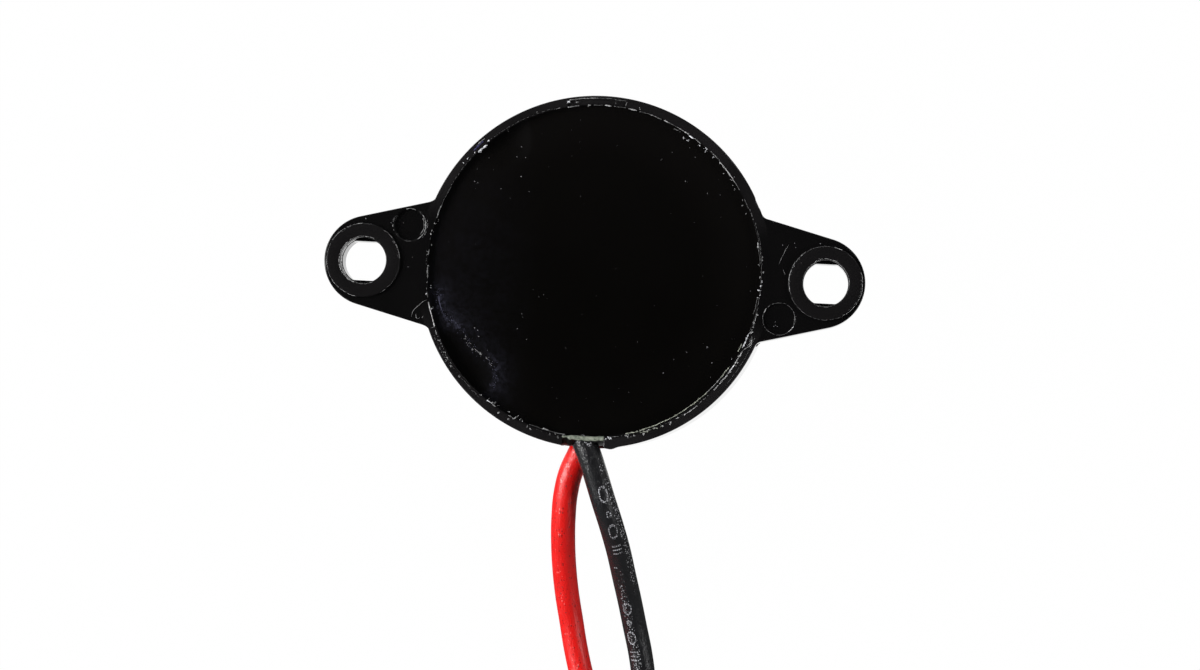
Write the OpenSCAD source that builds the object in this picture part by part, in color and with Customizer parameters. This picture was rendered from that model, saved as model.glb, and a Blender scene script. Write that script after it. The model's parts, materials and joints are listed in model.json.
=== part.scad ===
// Potted piezo buzzer. A round moulded case with two drilled ears holds a piezo
// sounder disc and its driver board, sealed in from the back with black resin,
// and two flying leads leave over the rim.
// The case lies on its sounding face, so the resin, the rim and the bosses are up.
// +X runs through the two mounting holes, and the leads leave towards -Y.

/* [Case] */
// Outer diameter of the round case
case_d = 23; // [22.5:0.5:25]
// Height from the sounding face to the back rim
case_h = 10; // [9.5:0.5:12]
// Width of the rim around the resin
rim_w = 0.6; // [0.6:0.1:0.9]
// Thickness of the sounding face
face_t = 1.2; // [1:0.1:1.5]
// Radius of the rounded edge round the sounding face
face_edge_r = 0.6; // [0.3:0.1:1]
// Diameter of the sound hole
sound_hole_d = 3; // [2:0.5:5]

/* [Ears] */
// Distance between the two mounting holes
hole_pitch = 30; // [29:0.5:33]
// Thickness of an ear
ear_t = 2.8; // [2:0.1:3.2]
// Radius of an ear's round end
ear_end_r = 2.95; // [2.9:0.05:3.2]
// How far the middle of that round end lies inside the mounting hole's
ear_end_in = 0.4; // [0:0.1:0.4]
// Angle of an ear's straight sides to its centre line
ear_taper = 14.5; // [10:0.5:20]
// Radius of the fillet where an ear meets the case
ear_fillet_r = 0.5; // [0.3:0.1:1]
// Diameter of a mounting hole at its boss
hole_d = 3; // [2.8:0.1:3.4]
// Distance between the two flats in the deeper part of a mounting hole
hole_flats = 2.55; // [2.3:0.05:2.7]
// Depth below the rim at which the flats begin
flats_depth = 1; // [0.6:0.1:1.6]
// Height of the boss round a mounting hole, above the rim
boss_h = 0.2; // [0.1:0.05:0.4]
// Radius of that boss
boss_r = 2.4; // [2.1:0.1:2.4]
// Radius of the ejector pin's mark on each ear
pin_mark_r = 1.03; // [0.8:0.01:1.1]

/* [Sounder] */
// Diameter of the brass plate
plate_d = 20; // [19:0.2:20]
// Thickness of the brass plate
plate_t = 0.2; // [0.15:0.05:0.3]
// Diameter of the piezo ceramic
ceramic_d = 14; // [12:0.5:15]
// Thickness of the piezo ceramic
ceramic_t = 0.2; // [0.15:0.05:0.3]

/* [Driver board] */
// Thickness of the board
board_t = 0.8; // [0.6:0.1:1]
// Depth of the board's back below the rim
board_depth = 3.6; // [3.6:0.1:3.9]

/* [Resin] */
// Depth of the resin's surface below the rim
resin_depth = 0.4; // [0.3:0.05:0.5]
// Height that the resin climbs at the wall
resin_climb = 0.2; // [0.05:0.05:0.25]
// Radius of the ball that would fill a sunken spot in the resin
sunk_ball_r = 6.5; // [5:0.5:8]
// Depth of the two sunken spots
sunk_depth = 0.25; // [0.15:0.05:0.35]

/* [Leads] */
// Diameter over a lead's insulation
lead_d = 1.6; // [1.4:0.1:1.6]
// Length of a lead's insulation, coil included
lead_len = 95; // [90:1:110]
// Diameter of a lead's tinned conductor
strand_d = 0.9; // [0.7:0.1:1]
// Length of the tinned tip beyond the insulation
tip_len = 5; // [3:0.5:6]

/* [Hidden] */
$fn = 64;
eps = 0.01;

// Case, from the driving sizes
case_r = case_d / 2;
bore_r = case_r - rim_w;
hole_x = hole_pitch / 2;
ear_end_x = hole_x - ear_end_in;
ear_z = case_h - ear_t;
pin_mark_at = [12.1, -2.45];
pin_mark_depths = [0.25, 0.12];

// Steps inside the case
plate_r = plate_d / 2;
plate_seat_z = 3;
plate_bore_r = plate_r + 0.15;
chamber_r = plate_r - 0.8;
board_back_z = case_h - board_depth;
board_z = board_back_z - board_t;
board_r = bore_r - 0.2;

// Sounder, stacked on the plate's seat
glue_t = 0.1;
plate_z = plate_seat_z + glue_t;
ceramic_z = plate_z + plate_t;
electrode_z = ceramic_z + ceramic_t;
electrode_t = 0.05;
electrode_r = ceramic_d / 2 - 0.4;
tongue_w = 2.6;
tongue_gap = 0.5;
tongue_x = -electrode_r + 4.2;

// Solder spots and the wires between the sounder and the board
spot_r = 0.8;
spot_h = 0.35;
pad_t = 0.05;
wire_d = 0.6;
plate_spot = [7.9, -2.6];
main_spot = [3.4, 1.2];
feedback_spot = [-4.6, 0];
plate_pad = [7.4, -4.6];
main_pad = [5.6, 3.6];
feedback_pad = [-6.8, 1.8];

// Parts under the board
transistor_at = [0, -4.4];
coil_at = [-3.6, 5.4];
base_resistor_at = [-5.2, -3.6];
bias_resistor_at = [2.6, 6.6];

// Way out of the case for the leads: a slot in the rim
lead_r = lead_d / 2;
slot_x = -0.15;
slot_w = 2.7;
slot_corner_r = 0.4;
slot_z = case_h - 3.5;
lead_gap = 0.02;
red_exit_z = slot_z + lead_r + lead_gap;
black_exit_z = red_exit_z + lead_d + 0.15;

// Routes of the leads from inside the resin to the coil. The third number is the
// height as a share of the height at the slot, 1 there and 0 on the surface.
// Each lead runs straight from its first point to its second, through the slot.
red_route = [[1.9, -7.7, 1], [-0.5, -11.9, 1], [-0.95, -13, 0.99], [-1.25, -14.5, 0.94],
    [-1.35, -16.1, 0.83], [-1.35, -17.8, 0.65], [-1.25, -19.5, 0.46], [-1.05, -21.2, 0.28],
    [-0.75, -22.9, 0.13], [-0.4, -24.7, 0.04], [0.1, -26.6, 0], [0.6, -28, 0],
    [1.2, -29.4, 0]];
black_route = [[-2.1, -7.5, 0.9], [0.3, -11.9, 1], [0.75, -13.1, 0.99], [1.3, -14.7, 0.94],
    [1.85, -16.3, 0.82], [2.35, -18, 0.64], [2.75, -19.7, 0.46], [3.15, -21.4, 0.28],
    [3.55, -23.2, 0.13], [3.95, -24.9, 0.04], [4.25, -26.6, 0], [4.45, -28.5, 0],
    [4.5, -30.6, 0], [4.45, -32.9, 0]];

// Coil of the rest of both leads: a flat turn side by side, then up and over itself
coil_centre = [-5.25, -38.5];
red_coil_r = 8;
black_coil_r = red_coil_r + lead_d + 0.05;
coil_climb_from = 95;
red_end_angle = -coiled_turn(placed(red_route, red_exit_z), red_coil_r);
black_end_angle = -coiled_turn(placed(black_route, black_exit_z), black_coil_r);

// Angle that a length takes up on the coil, and that of what a route leaves of a lead
function turned(len, r) = len / r * 180 / PI;
function flat_gap(p, at) = norm([at[0] - p[0], at[1] - p[1]]);
function coiled_turn(p, r) =
    turned(lead_len - path_length(p) - flat_gap(p[len(p) - 1], coil_centre + [r, 0]), r);

// The points of a route, with its height shares turned into heights
function placed(route, exit_z) =
    [for (p = route) [p[0], p[1], lead_r + p[2] * (exit_z - lead_r)]];
function path_length(p, i = 0) =
    i + 1 < len(p) ? norm(p[i + 1] - p[i]) + path_length(p, i + 1) : 0;

// A round tube of n sides swept along points p; ref is any way that p never runs
function unit(v) = v / norm(v);
function heading(p, i) = unit(p[min(i + 1, len(p) - 1)] - p[max(i - 1, 0)]);
function ring(at, along, ref, r, n) =
    let (side = unit(cross(along, ref)), up = cross(side, along))
    [for (k = [0:n - 1]) at + r * (cos(360 * k / n) * side + sin(360 * k / n) * up)];
module tube(p, r, ref = [0, 0, 1], n = 8) {
    last = (len(p) - 1) * n;
    walls = [for (i = [0:len(p) - 2], k = [0:n - 1])
        [i * n + k, (i + 1) * n + k, (i + 1) * n + (k + 1) % n, i * n + (k + 1) % n]];
    start = [for (k = [0:n - 1]) k];
    end = [for (k = [n - 1:-1:0]) last + k];
    polyhedron([for (i = [0:len(p) - 1]) each ring(p[i], heading(p, i), ref, r, n)],
        concat(walls, [start, end]), convexity = 6);
}

// ---- Case ----

// Where a line from the ear's end circle meets the tangent at ear_taper
function ear_side(x) = (ear_end_r + (ear_end_x - x) * sin(ear_taper)) / cos(ear_taper);

// Half of an ear's outline: its end, its straight side and the fillet at the case
module ear_outline() {
    side_start = [ear_end_x + ear_end_r * sin(ear_taper), ear_end_r * cos(ear_taper)];
    root_x = bore_r - 2;
    normal = [sin(ear_taper), cos(ear_taper)];
    along = [-cos(ear_taper), sin(ear_taper)];
    reach = ear_end_r + ear_end_x * sin(ear_taper);
    out = reach + ear_fillet_r;
    centre = out * normal + sqrt(pow(case_r + ear_fillet_r, 2) - out * out) * -along;
    on_side = centre - ear_fillet_r * normal;
    on_case = centre * case_r / (case_r + ear_fillet_r);
    translate([ear_end_x, 0]) circle(ear_end_r);
    for (s = [1, -1])
        scale([1, s]) {
            polygon([[root_x, 0], [ear_end_x, 0], side_start, [root_x, ear_side(root_x)]]);
            difference() {
                polygon([on_side, on_case, on_case * (case_r - 1) / case_r]);
                translate(centre) circle(ear_fillet_r);
            }
        }
}

// Through hole of an ear: round at the boss, with two flats below flats_depth
module mounting_hole() {
    flats_z = case_h - flats_depth;
    translate([0, 0, flats_z]) cylinder(d = hole_d, h = flats_depth + boss_h + eps);
    translate([0, 0, ear_z - eps])
        intersection() {
            cylinder(d = hole_d, h = flats_z - ear_z + 2 * eps);
            translate([-hole_d, -hole_flats / 2, 0])
                cube([2 * hole_d, hole_flats, flats_z - ear_z + 2 * eps]);
        }
}

// Section of the round shell, from the sound hole out and up the stepped bore
module shell_section() {
    arc = [for (a = [270:15:360])
        [case_r - face_edge_r + face_edge_r * cos(a), face_edge_r + face_edge_r * sin(a)]];
    polygon(concat([[sound_hole_d / 2, 0]], arc,
        [[case_r, case_h], [bore_r, case_h], [bore_r, board_z], [plate_bore_r, board_z],
            [plate_bore_r, plate_seat_z], [chamber_r, plate_seat_z],
            [chamber_r, face_t], [sound_hole_d / 2, face_t]]));
}

// Slot in the rim, as a flat shape with round bottom corners, up from its floor
module slot_shape() {
    c = slot_corner_r;
    deep = case_h - slot_z;
    translate([-slot_w / 2 + c, 0]) square([slot_w - 2 * c, deep + 1]);
    translate([-slot_w / 2, c]) square([slot_w, deep + 1 - c]);
    for (s = [-1, 1]) translate([s * (slot_w / 2 - c), c]) circle(c);
}
module slot_body(from_r, to_r) {
    translate([slot_x, -from_r, slot_z])
        rotate([90, 0, 0]) linear_extrude(to_r - from_r) slot_shape();
}

// Shallow gate recess in the rim, opposite the slot
module gate_recess() {
    recess_x = -2.3;
    recess_w = 3.8;
    recess_t = 0.15;
    lip_w = 0.2;
    translate([recess_x, 0, case_h - recess_t])
        intersection() {
            cube([recess_w, case_r, 1]);
            translate([-recess_x, 0, 0]) cylinder(r = case_r - lip_w, h = 1);
        }
}

module case() {
    color([0.09, 0.09, 0.1])
    difference() {
        union() {
            rotate_extrude() shell_section();
            for (s = [1, -1])
                difference() {
                    translate([0, 0, ear_z])
                        rotate([0, 0, s > 0 ? 0 : 180])
                        linear_extrude(ear_t) ear_outline();
                    translate([0, 0, ear_z - 1]) cylinder(r = case_r - 0.3, h = ear_t + 2);
                }
            for (s = [1, -1])
                translate([s * hole_x, 0, case_h - eps]) cylinder(r = boss_r, h = boss_h + eps);
        }
        for (s = [1, -1]) translate([s * hole_x, 0, 0]) mounting_hole();
        for (i = [0, 1])
            translate([(1 - 2 * i) * pin_mark_at[0], (1 - 2 * i) * pin_mark_at[1],
                case_h - pin_mark_depths[1 - i]])
                cylinder(r = pin_mark_r, h = 1);
        slot_body(bore_r - 0.3, case_r + 1);
        gate_recess();
    }
}

// ---- Sounder ----

module plate_glue() {
    color([0.75, 0.72, 0.6])
    translate([0, 0, plate_seat_z])
        difference() {
            cylinder(r = plate_r, h = glue_t);
            translate([0, 0, -1]) cylinder(r = chamber_r + 0.1, h = glue_t + 2);
        }
}

module brass_plate() {
    color([0.83, 0.66, 0.32])
    translate([0, 0, plate_z]) cylinder(r = plate_r, h = plate_t);
}

module ceramic_disc() {
    color([0.86, 0.82, 0.72])
    translate([0, 0, ceramic_z]) cylinder(d = ceramic_d, h = ceramic_t);
}

// Outline of the feedback electrode: a tongue with a round inner end, and grown by g
module tongue_shape(g) {
    w = tongue_w / 2 + g;
    translate([tongue_x, 0]) circle(w);
    translate([-electrode_r - 1, -w]) square([tongue_x + electrode_r + 1, 2 * w]);
}

module main_electrode() {
    color([0.8, 0.8, 0.8])
    translate([0, 0, electrode_z])
        linear_extrude(electrode_t)
        difference() {
            circle(electrode_r);
            tongue_shape(tongue_gap);
        }
}

module feedback_electrode() {
    color([0.8, 0.8, 0.8])
    translate([0, 0, electrode_z])
        linear_extrude(electrode_t)
        intersection() {
            circle(electrode_r);
            tongue_shape(0);
        }
}

// A drop of solder: the cap of a ball, base radius a and height h
module solder_drop(at, z, a, h) {
    ball_r = (a * a + h * h) / (2 * h);
    translate([at[0], at[1], z])
        difference() {
            translate([0, 0, h - ball_r]) sphere(ball_r);
            translate([0, 0, -ball_r]) cube([4 * ball_r, 4 * ball_r, 2 * ball_r], center = true);
        }
}

module plate_solder() {
    color([0.7, 0.71, 0.72]) solder_drop(plate_spot, ceramic_z, spot_r, spot_h);
}
module main_solder() {
    color([0.7, 0.71, 0.72])
    solder_drop(main_spot, electrode_z + electrode_t, spot_r, spot_h);
}
module feedback_solder() {
    color([0.7, 0.71, 0.72])
    solder_drop(feedback_spot, electrode_z + electrode_t, spot_r, spot_h);
}

// A thin wire from a pad under the board, down to the top of a solder drop
module sounder_wire(pad, spot, spot_z) {
    top = board_z - pad_t;
    low = spot_z + spot_h;
    tube([[pad[0], pad[1], top], [pad[0], pad[1], top - 0.5],
            [pad[0] * 0.7 + spot[0] * 0.3, pad[1] * 0.7 + spot[1] * 0.3, top * 0.6 + low * 0.4],
            [pad[0] * 0.3 + spot[0] * 0.7, pad[1] * 0.3 + spot[1] * 0.7, top * 0.4 + low * 0.6],
            [spot[0], spot[1], low + 0.5], [spot[0], spot[1], low]],
        wire_d / 2, ref = unit([spot[1] - pad[1], pad[0] - spot[0], 0]));
}
module plate_wire() { color([0.1, 0.1, 0.1]) sounder_wire(plate_pad, plate_spot, ceramic_z); }
module main_wire() {
    color([0.75, 0.1, 0.08]) sounder_wire(main_pad, main_spot, electrode_z + electrode_t);
}
module feedback_wire() {
    color([0.1, 0.2, 0.6]) sounder_wire(feedback_pad, feedback_spot, electrode_z + electrode_t);
}

// ---- Driver board ----

module circuit_board() {
    color([0.72, 0.6, 0.32])
    translate([0, 0, board_z]) cylinder(r = board_r, h = board_t);
}

// The inner ends of the leads' conductors, on their pads
red_inner = placed(red_route, red_exit_z)[0];
black_inner = placed(black_route, black_exit_z)[0];
red_pad = [3.6, -5.4];
black_pad = [-3.6, -5];
tail_z = board_back_z + pad_t + strand_d / 2;

module board_copper() {
    color([0.8, 0.5, 0.25])
    union() {
        for (at = [plate_pad, main_pad, feedback_pad])
            translate([at[0], at[1], board_z - pad_t]) cylinder(r = 0.7, h = pad_t);
        for (at = [red_pad, black_pad])
            translate([at[0], at[1], board_back_z]) cylinder(r = 1.5, h = pad_t);
    }
}

// Small three-legged transistor, hung under the board
sot = [2.9, 1.3, 1];
module transistor() {
    color([0.12, 0.12, 0.12])
    translate([transistor_at[0], transistor_at[1], board_z - 0.1 - sot[2]])
        translate([-sot[0] / 2, -sot[1] / 2, 0]) cube(sot);
}
module leg() {
    leg_w = 0.4;
    translate([-leg_w / 2, 0, 0])
        rotate([90, 0, 90])
        linear_extrude(leg_w)
        polygon([[0, -0.55], [0.35, -0.55], [0.35, -0.12], [0.7, -0.12], [0.7, 0],
            [0.23, 0], [0.23, -0.43], [0, -0.43]]);
}
module transistor_legs() {
    color([0.75, 0.75, 0.76])
    translate([transistor_at[0], transistor_at[1], board_z]) {
        translate([0, sot[1] / 2, 0]) leg();
        for (x = [-0.95, 0.95])
            translate([x, -sot[1] / 2, 0]) rotate([0, 0, 180]) leg();
    }
}

// Drum choke: a ferrite core with two flanges, and its winding between them
core_r = 1.5;
core_h = 1.8;
flange_t = 0.35;
waist_r = 0.8;
module coil_core() {
    color([0.2, 0.2, 0.21])
    translate([coil_at[0], coil_at[1], board_z - core_h])
        rotate_extrude()
        polygon([[0, 0], [core_r, 0], [core_r, flange_t], [waist_r, flange_t],
            [waist_r, core_h - flange_t], [core_r, core_h - flange_t],
            [core_r, core_h], [0, core_h]]);
}
module coil_winding() {
    color([0.65, 0.3, 0.12])
    translate([coil_at[0], coil_at[1], board_z - core_h + flange_t])
        difference() {
            cylinder(r = core_r - 0.1, h = core_h - 2 * flange_t);
            translate([0, 0, -1]) cylinder(r = waist_r, h = core_h + 2);
        }
}

// Chip resistor: a ceramic body with a metal cap at each end
module chip_resistor(at, turn) {
    body = [2, 1.25, 0.5];
    cap = [0.4, 1.29, 0.54];
    translate([at[0], at[1], board_z])
        rotate([0, 0, turn])
        union() {
            translate([-body[0] / 2, -body[1] / 2, -body[2] - 0.02]) cube(body);
            for (x = [-body[0] / 2, body[0] / 2 - cap[0]])
                translate([x, -cap[1] / 2, -cap[2]]) cube(cap);
        }
}
module base_resistor() { color([0.15, 0.15, 0.17]) chip_resistor(base_resistor_at, 90); }
module bias_resistor() { color([0.15, 0.15, 0.17]) chip_resistor(bias_resistor_at, 0); }

// ---- Leads ----

module red_lead() { color([0.85, 0.06, 0.06]) tube(placed(red_route, red_exit_z), lead_r); }
module black_lead() {
    color([0.12, 0.12, 0.13]) tube(placed(black_route, black_exit_z), lead_r);
}

// A round rod between two points
module rod(from, to, r) {
    way = to - from;
    translate(from)
        rotate([0, acos(way[2] / norm(way)), atan2(way[1], way[0])])
        cylinder(r = r, h = norm(way));
}

// The stripped inner end of a lead, from its insulation down onto its pad
module red_tail() {
    color([0.78, 0.78, 0.77])
    difference() {
        rod(red_inner, [red_pad[0], red_pad[1], tail_z], strand_d / 2);
        lead_ways();
    }
}
module black_tail() {
    color([0.78, 0.78, 0.77])
    difference() {
        rod(black_inner, [black_pad[0], black_pad[1], tail_z], strand_d / 2);
        lead_ways();
    }
}

pad_drop_r = 1.3;
pad_drop_h = 1.15;
module red_drop() { solder_drop(red_pad, board_back_z + pad_t, pad_drop_r, pad_drop_h); }
module black_drop() { solder_drop(black_pad, board_back_z + pad_t, pad_drop_r, pad_drop_h); }
module red_solder() {
    color([0.7, 0.71, 0.72])
    difference() {
        red_drop();
        red_tail();
    }
}
module black_solder() {
    color([0.7, 0.71, 0.72])
    difference() {
        black_drop();
        black_tail();
    }
}

// ---- Resin ----

resin_z = case_h - resin_depth;
climb_w = 0.5;
sunk_at = [[10.4, 127], [10.3, 221]];
module resin() {
    climb = [for (t = [0:0.25:1])
        [bore_r - climb_w * (1 - t), resin_z + resin_climb * t * t]];
    color([0.03, 0.03, 0.03])
    difference() {
        union() {
            rotate_extrude()
                polygon(concat([[0, board_back_z], [bore_r, board_back_z]],
                    [for (i = [4:-1:0]) climb[i]], [[0, resin_z]]));
            difference() {
                translate([0, 0, board_z]) cylinder(r = bore_r, h = board_t + eps);
                translate([0, 0, board_z - 1]) cylinder(r = board_r, h = board_t + 2);
            }
        }
        for (s = sunk_at)
            rotate([0, 0, s[1]])
                translate([s[0], 0, resin_z - sunk_depth + sunk_ball_r]) sphere(sunk_ball_r);
        for (at = [red_pad, black_pad])
            translate([at[0], at[1], board_back_z - eps]) cylinder(r = 1.5, h = pad_t + eps);
        red_drop();
        black_drop();
        red_tail();
        black_tail();
        lead_ways();
    }
}

// The straight ways of both leads through the resin and the slot
module lead_ways() {
    for (p = [placed(red_route, red_exit_z), placed(black_route, black_exit_z)])
        rod(p[0], p[1], lead_r);
}

// Pale sealant that fills the slot round the leads, flush with the rim
module exit_sealant() {
    sealant_w = 0.35;
    color([0.62, 0.66, 0.58])
    difference() {
        intersection() {
            slot_body(bore_r - 0.3, case_r);
            difference() {
                cylinder(r = bore_r + sealant_w, h = case_h);
                translate([0, 0, -1]) cylinder(r = bore_r, h = case_h + 2);
            }
        }
        lead_ways();
    }
}

// ---- Coil and tips ----

// Section of w by h with its upper corners rounded by a lead's radius
module bundle_section(r, w, z) {
    c = lead_r - eps;
    translate([r - w / 2 + c, z]) square([w - 2 * c, lead_d]);
    translate([r - w / 2, z]) square([w, lead_d - c]);
    for (x = [r - w / 2 + c, r + w / 2 - c]) translate([x, z + lead_d - c]) circle(c);
}
module upper_turn(r, end_angle) {
    rotate([0, 0, 360 + end_angle])
        rotate_extrude(angle = coil_climb_from - 360 - end_angle)
        bundle_section(r, lead_d, lead_d - eps);
}
module coiled_leads() {
    color([0.3, 0.08, 0.08])
    translate([coil_centre[0], coil_centre[1], 0])
        union() {
            rotate_extrude()
                bundle_section((red_coil_r + black_coil_r) / 2, black_coil_r - red_coil_r + lead_d, 0);
            upper_turn(red_coil_r, red_end_angle);
            upper_turn(black_coil_r, black_end_angle);
        }
}

// A tinned tip, lying along the turn below it from where the insulation ends
module coiled_tip(r, end_angle) {
    color([0.78, 0.78, 0.77])
    translate([coil_centre[0], coil_centre[1], lead_d + strand_d / 2])
        rotate([0, 0, end_angle - turned(tip_len, r)])
        rotate_extrude(angle = turned(tip_len, r))
        translate([r, 0]) circle(strand_d / 2);
}
module red_tip() { coiled_tip(red_coil_r, red_end_angle); }
module black_tip() { coiled_tip(black_coil_r, black_end_angle); }

case();
plate_glue();
brass_plate();
ceramic_disc();
main_electrode();
feedback_electrode();
plate_solder();
main_solder();
feedback_solder();
plate_wire();
main_wire();
feedback_wire();
circuit_board();
board_copper();
transistor();
transistor_legs();
coil_core();
coil_winding();
base_resistor();
bias_resistor();
red_lead();
black_lead();
red_tail();
black_tail();
red_solder();
black_solder();
resin();
exit_sealant();
coiled_leads();
red_tip();
black_tip();
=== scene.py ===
"""Looks for a potted piezo buzzer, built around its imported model.

The buzzer lies on its sounding face, with the resin and the rim up, and its two leads leave towards -Y.
Shapes are worked out in millimetres and turned into metres where a mesh is made.
"""

import json
import math

import bmesh
import bpy
import numpy as np
from mathutils import Matrix, Vector


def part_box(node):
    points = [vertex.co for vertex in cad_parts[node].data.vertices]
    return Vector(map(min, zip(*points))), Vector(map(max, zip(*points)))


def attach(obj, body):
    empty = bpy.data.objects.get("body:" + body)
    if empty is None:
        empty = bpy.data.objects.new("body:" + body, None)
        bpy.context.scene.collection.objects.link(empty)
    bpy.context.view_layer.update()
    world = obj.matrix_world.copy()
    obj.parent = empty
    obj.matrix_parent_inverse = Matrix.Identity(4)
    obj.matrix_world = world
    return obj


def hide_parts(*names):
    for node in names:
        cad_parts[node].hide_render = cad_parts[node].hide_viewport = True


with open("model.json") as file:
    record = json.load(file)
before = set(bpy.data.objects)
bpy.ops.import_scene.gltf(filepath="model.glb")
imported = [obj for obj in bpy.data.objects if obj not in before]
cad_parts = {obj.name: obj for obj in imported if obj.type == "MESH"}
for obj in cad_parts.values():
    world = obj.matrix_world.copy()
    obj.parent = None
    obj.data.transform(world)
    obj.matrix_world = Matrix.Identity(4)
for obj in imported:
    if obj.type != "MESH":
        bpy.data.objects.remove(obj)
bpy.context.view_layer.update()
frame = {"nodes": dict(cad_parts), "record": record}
MM = 0.001


def box(node):
    """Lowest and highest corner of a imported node, in millimetres."""
    return [np.array(corner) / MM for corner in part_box(node)]


# ---- Sizes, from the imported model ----

mounts = {m["name"]: m for m in frame["record"]["mounts"]}
HOLE_X = mounts["mounting_holes"]["dims"]["spacing_x_mm"] / 2
HOLE_R = mounts["mounting_holes"]["dims"]["hole_r_mm"]
CASE_R = box("case")[1][1]
BOSS_Z = box("case")[1][2]
EAR_END_X = HOLE_X - 0.4
EAR_END_R = box("case")[1][0] - EAR_END_X
RIM_Z = box("exit_sealant")[1][2]
BORE_R = box("resin")[1][0]
RESIN_EDGE_Z = box("resin")[1][2]
RESIN_LOW_Z = box("resin")[0][2]
SEAT_Z = box("plate_glue")[0][2]
PLATE_R = box("brass_plate")[1][0]
SLOT_LOW_Z = box("exit_sealant")[0][2]
LEAD_R = 0.8
STRAND_R = (box("red_tip")[1][2] - 2 * LEAD_R) / 2
EAR_T = 2.8
EAR_LOW_Z = RIM_Z - EAR_T

# ---- Camera, above and a little to the right of the case ----

VIEW_FROM = Vector((14.0, -11.0, 265.0)) * MM
VIEW_AT = Vector((0.615, -4.07, 10.0)) * MM
VIEW_ROLL = math.radians(3.0)
SENSOR = 36.0
VIEW_WIDTH = 77.57 * MM


def make_camera():
    """A long lens that takes in VIEW_WIDTH at the rim, turned by VIEW_ROLL about its own line."""
    data = bpy.data.cameras.new("camera")
    camera = bpy.data.objects.new("camera", data)
    bpy.context.scene.collection.objects.link(camera)
    away = (VIEW_FROM - VIEW_AT).normalized()
    side = Vector((-math.sin(VIEW_ROLL), math.cos(VIEW_ROLL), 0)).cross(away).normalized()
    up = away.cross(side)
    turn = Matrix((side, up, away)).transposed().to_4x4()
    camera.matrix_world = Matrix.Translation(VIEW_FROM) @ turn
    data.sensor_width = SENSOR
    data.lens = SENSOR * (VIEW_FROM - VIEW_AT).length / VIEW_WIDTH
    data.clip_start, data.clip_end = 0.01, 10.0
    bpy.context.scene.camera = camera


make_camera()

# ---- Meshes ----


def grid_faces(rows, columns):
    """Four corners for each cell of a grid of points whose last column joins its first."""
    r = np.arange(rows - 1)[:, None] * columns
    near = np.arange(columns)[None, :]
    far = (near + 1) % columns
    cells = np.stack([r + near, r + far, r + columns + far, r + columns + near], -1)
    return cells.reshape(-1, 4).tolist()


def mesh_object(name, points, faces, tidy=True):
    """An object at the origin from points in millimetres; tidy merges doubles and turns faces out."""
    mesh = bpy.data.meshes.new(name)
    mesh.from_pydata((np.asarray(points, float) * MM).tolist(), [], faces)
    if tidy:
        work = bmesh.new()
        work.from_mesh(mesh)
        bmesh.ops.remove_doubles(work, verts=work.verts, dist=1e-7)
        bmesh.ops.recalc_face_normals(work, faces=work.faces)
        work.to_mesh(mesh)
        work.free()
    mesh.shade_smooth()
    item = bpy.data.objects.new(name, mesh)
    bpy.context.scene.collection.objects.link(item)
    return item


def join(name, items):
    """One object from several, keeping each one's mesh as it is."""
    with bpy.context.temp_override(active_object=items[0], selected_editable_objects=items):
        bpy.ops.object.join()
    items[0].name = items[0].data.name = name
    return items[0]


def closed_loft(name, rings, tidy=True):
    """A closed solid through rings, an array of (ring, point, xyz), with its two ends filled."""
    rows, columns = rings.shape[:2]
    faces = grid_faces(rows, columns)
    faces += [list(range(columns))[::-1], list(range((rows - 1) * columns, rows * columns))]
    return mesh_object(name, rings.reshape(-1, 3), faces, tidy)


def turned(name, profile, count, centre):
    """A solid of revolution: profile holds (radius, z) and turns about the upright line at centre."""
    profile = np.asarray(profile, float)
    angle = np.linspace(0, 2 * np.pi, count, endpoint=False)
    x = centre[0] + profile[:, :1] * np.cos(angle)
    y = centre[1] + profile[:, :1] * np.sin(angle)
    z = np.repeat(profile[:, 1:2], count, 1)
    return closed_loft(name, np.stack([x, y, z], -1))


def unit(angle):
    """Points on the unit circle at some angles."""
    return np.stack([np.cos(angle), np.sin(angle)], -1)


def ring_of(x, y, z):
    """Points with the given places, all at one height."""
    return np.stack([x, y, np.full(len(x), z)], -1)


def quarter(start, end, bulge, steps=5):
    """Points on the quarter ellipse from start to end; bulge is the corner that it rounds off."""
    t = np.linspace(0, np.pi / 2, steps)[:, None]
    start, end, bulge = (np.asarray(p, float) for p in (start, end, bulge))
    centre = start + end - bulge
    return centre + (start - centre) * np.cos(t) + (end - centre) * np.sin(t)


def waves(angle, seed, low, high):
    """A smooth closed wobble from -1 to 1: whole-number sine waves from low to high, weaker as they rise."""
    draw = np.random.default_rng(seed)
    k = np.arange(low, high)
    size, shift = draw.normal(size=len(k)) / np.sqrt(k), draw.uniform(0, 2 * np.pi, len(k))
    total = (size * np.sin(np.multiply.outer(angle, k) + shift)).sum(-1)
    return total / np.abs(total).max()


def ripple(x, y, seed, wave):
    """A smooth patternless surface from -1 to 1: plane waves of about the given length, all ways round."""
    count = 24
    draw = np.random.default_rng(seed)
    way = draw.uniform(0, 2 * np.pi, count)
    k = 2 * np.pi / (wave * draw.uniform(0.7, 1.6, count))
    shift = draw.uniform(0, 2 * np.pi, count)
    total = np.zeros(np.shape(x))
    for i in range(count):
        total = total + np.sin(k[i] * (x * np.cos(way[i]) + y * np.sin(way[i])) + shift[i])
    return total / math.sqrt(count) / 2


# ---- Leads ----

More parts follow.
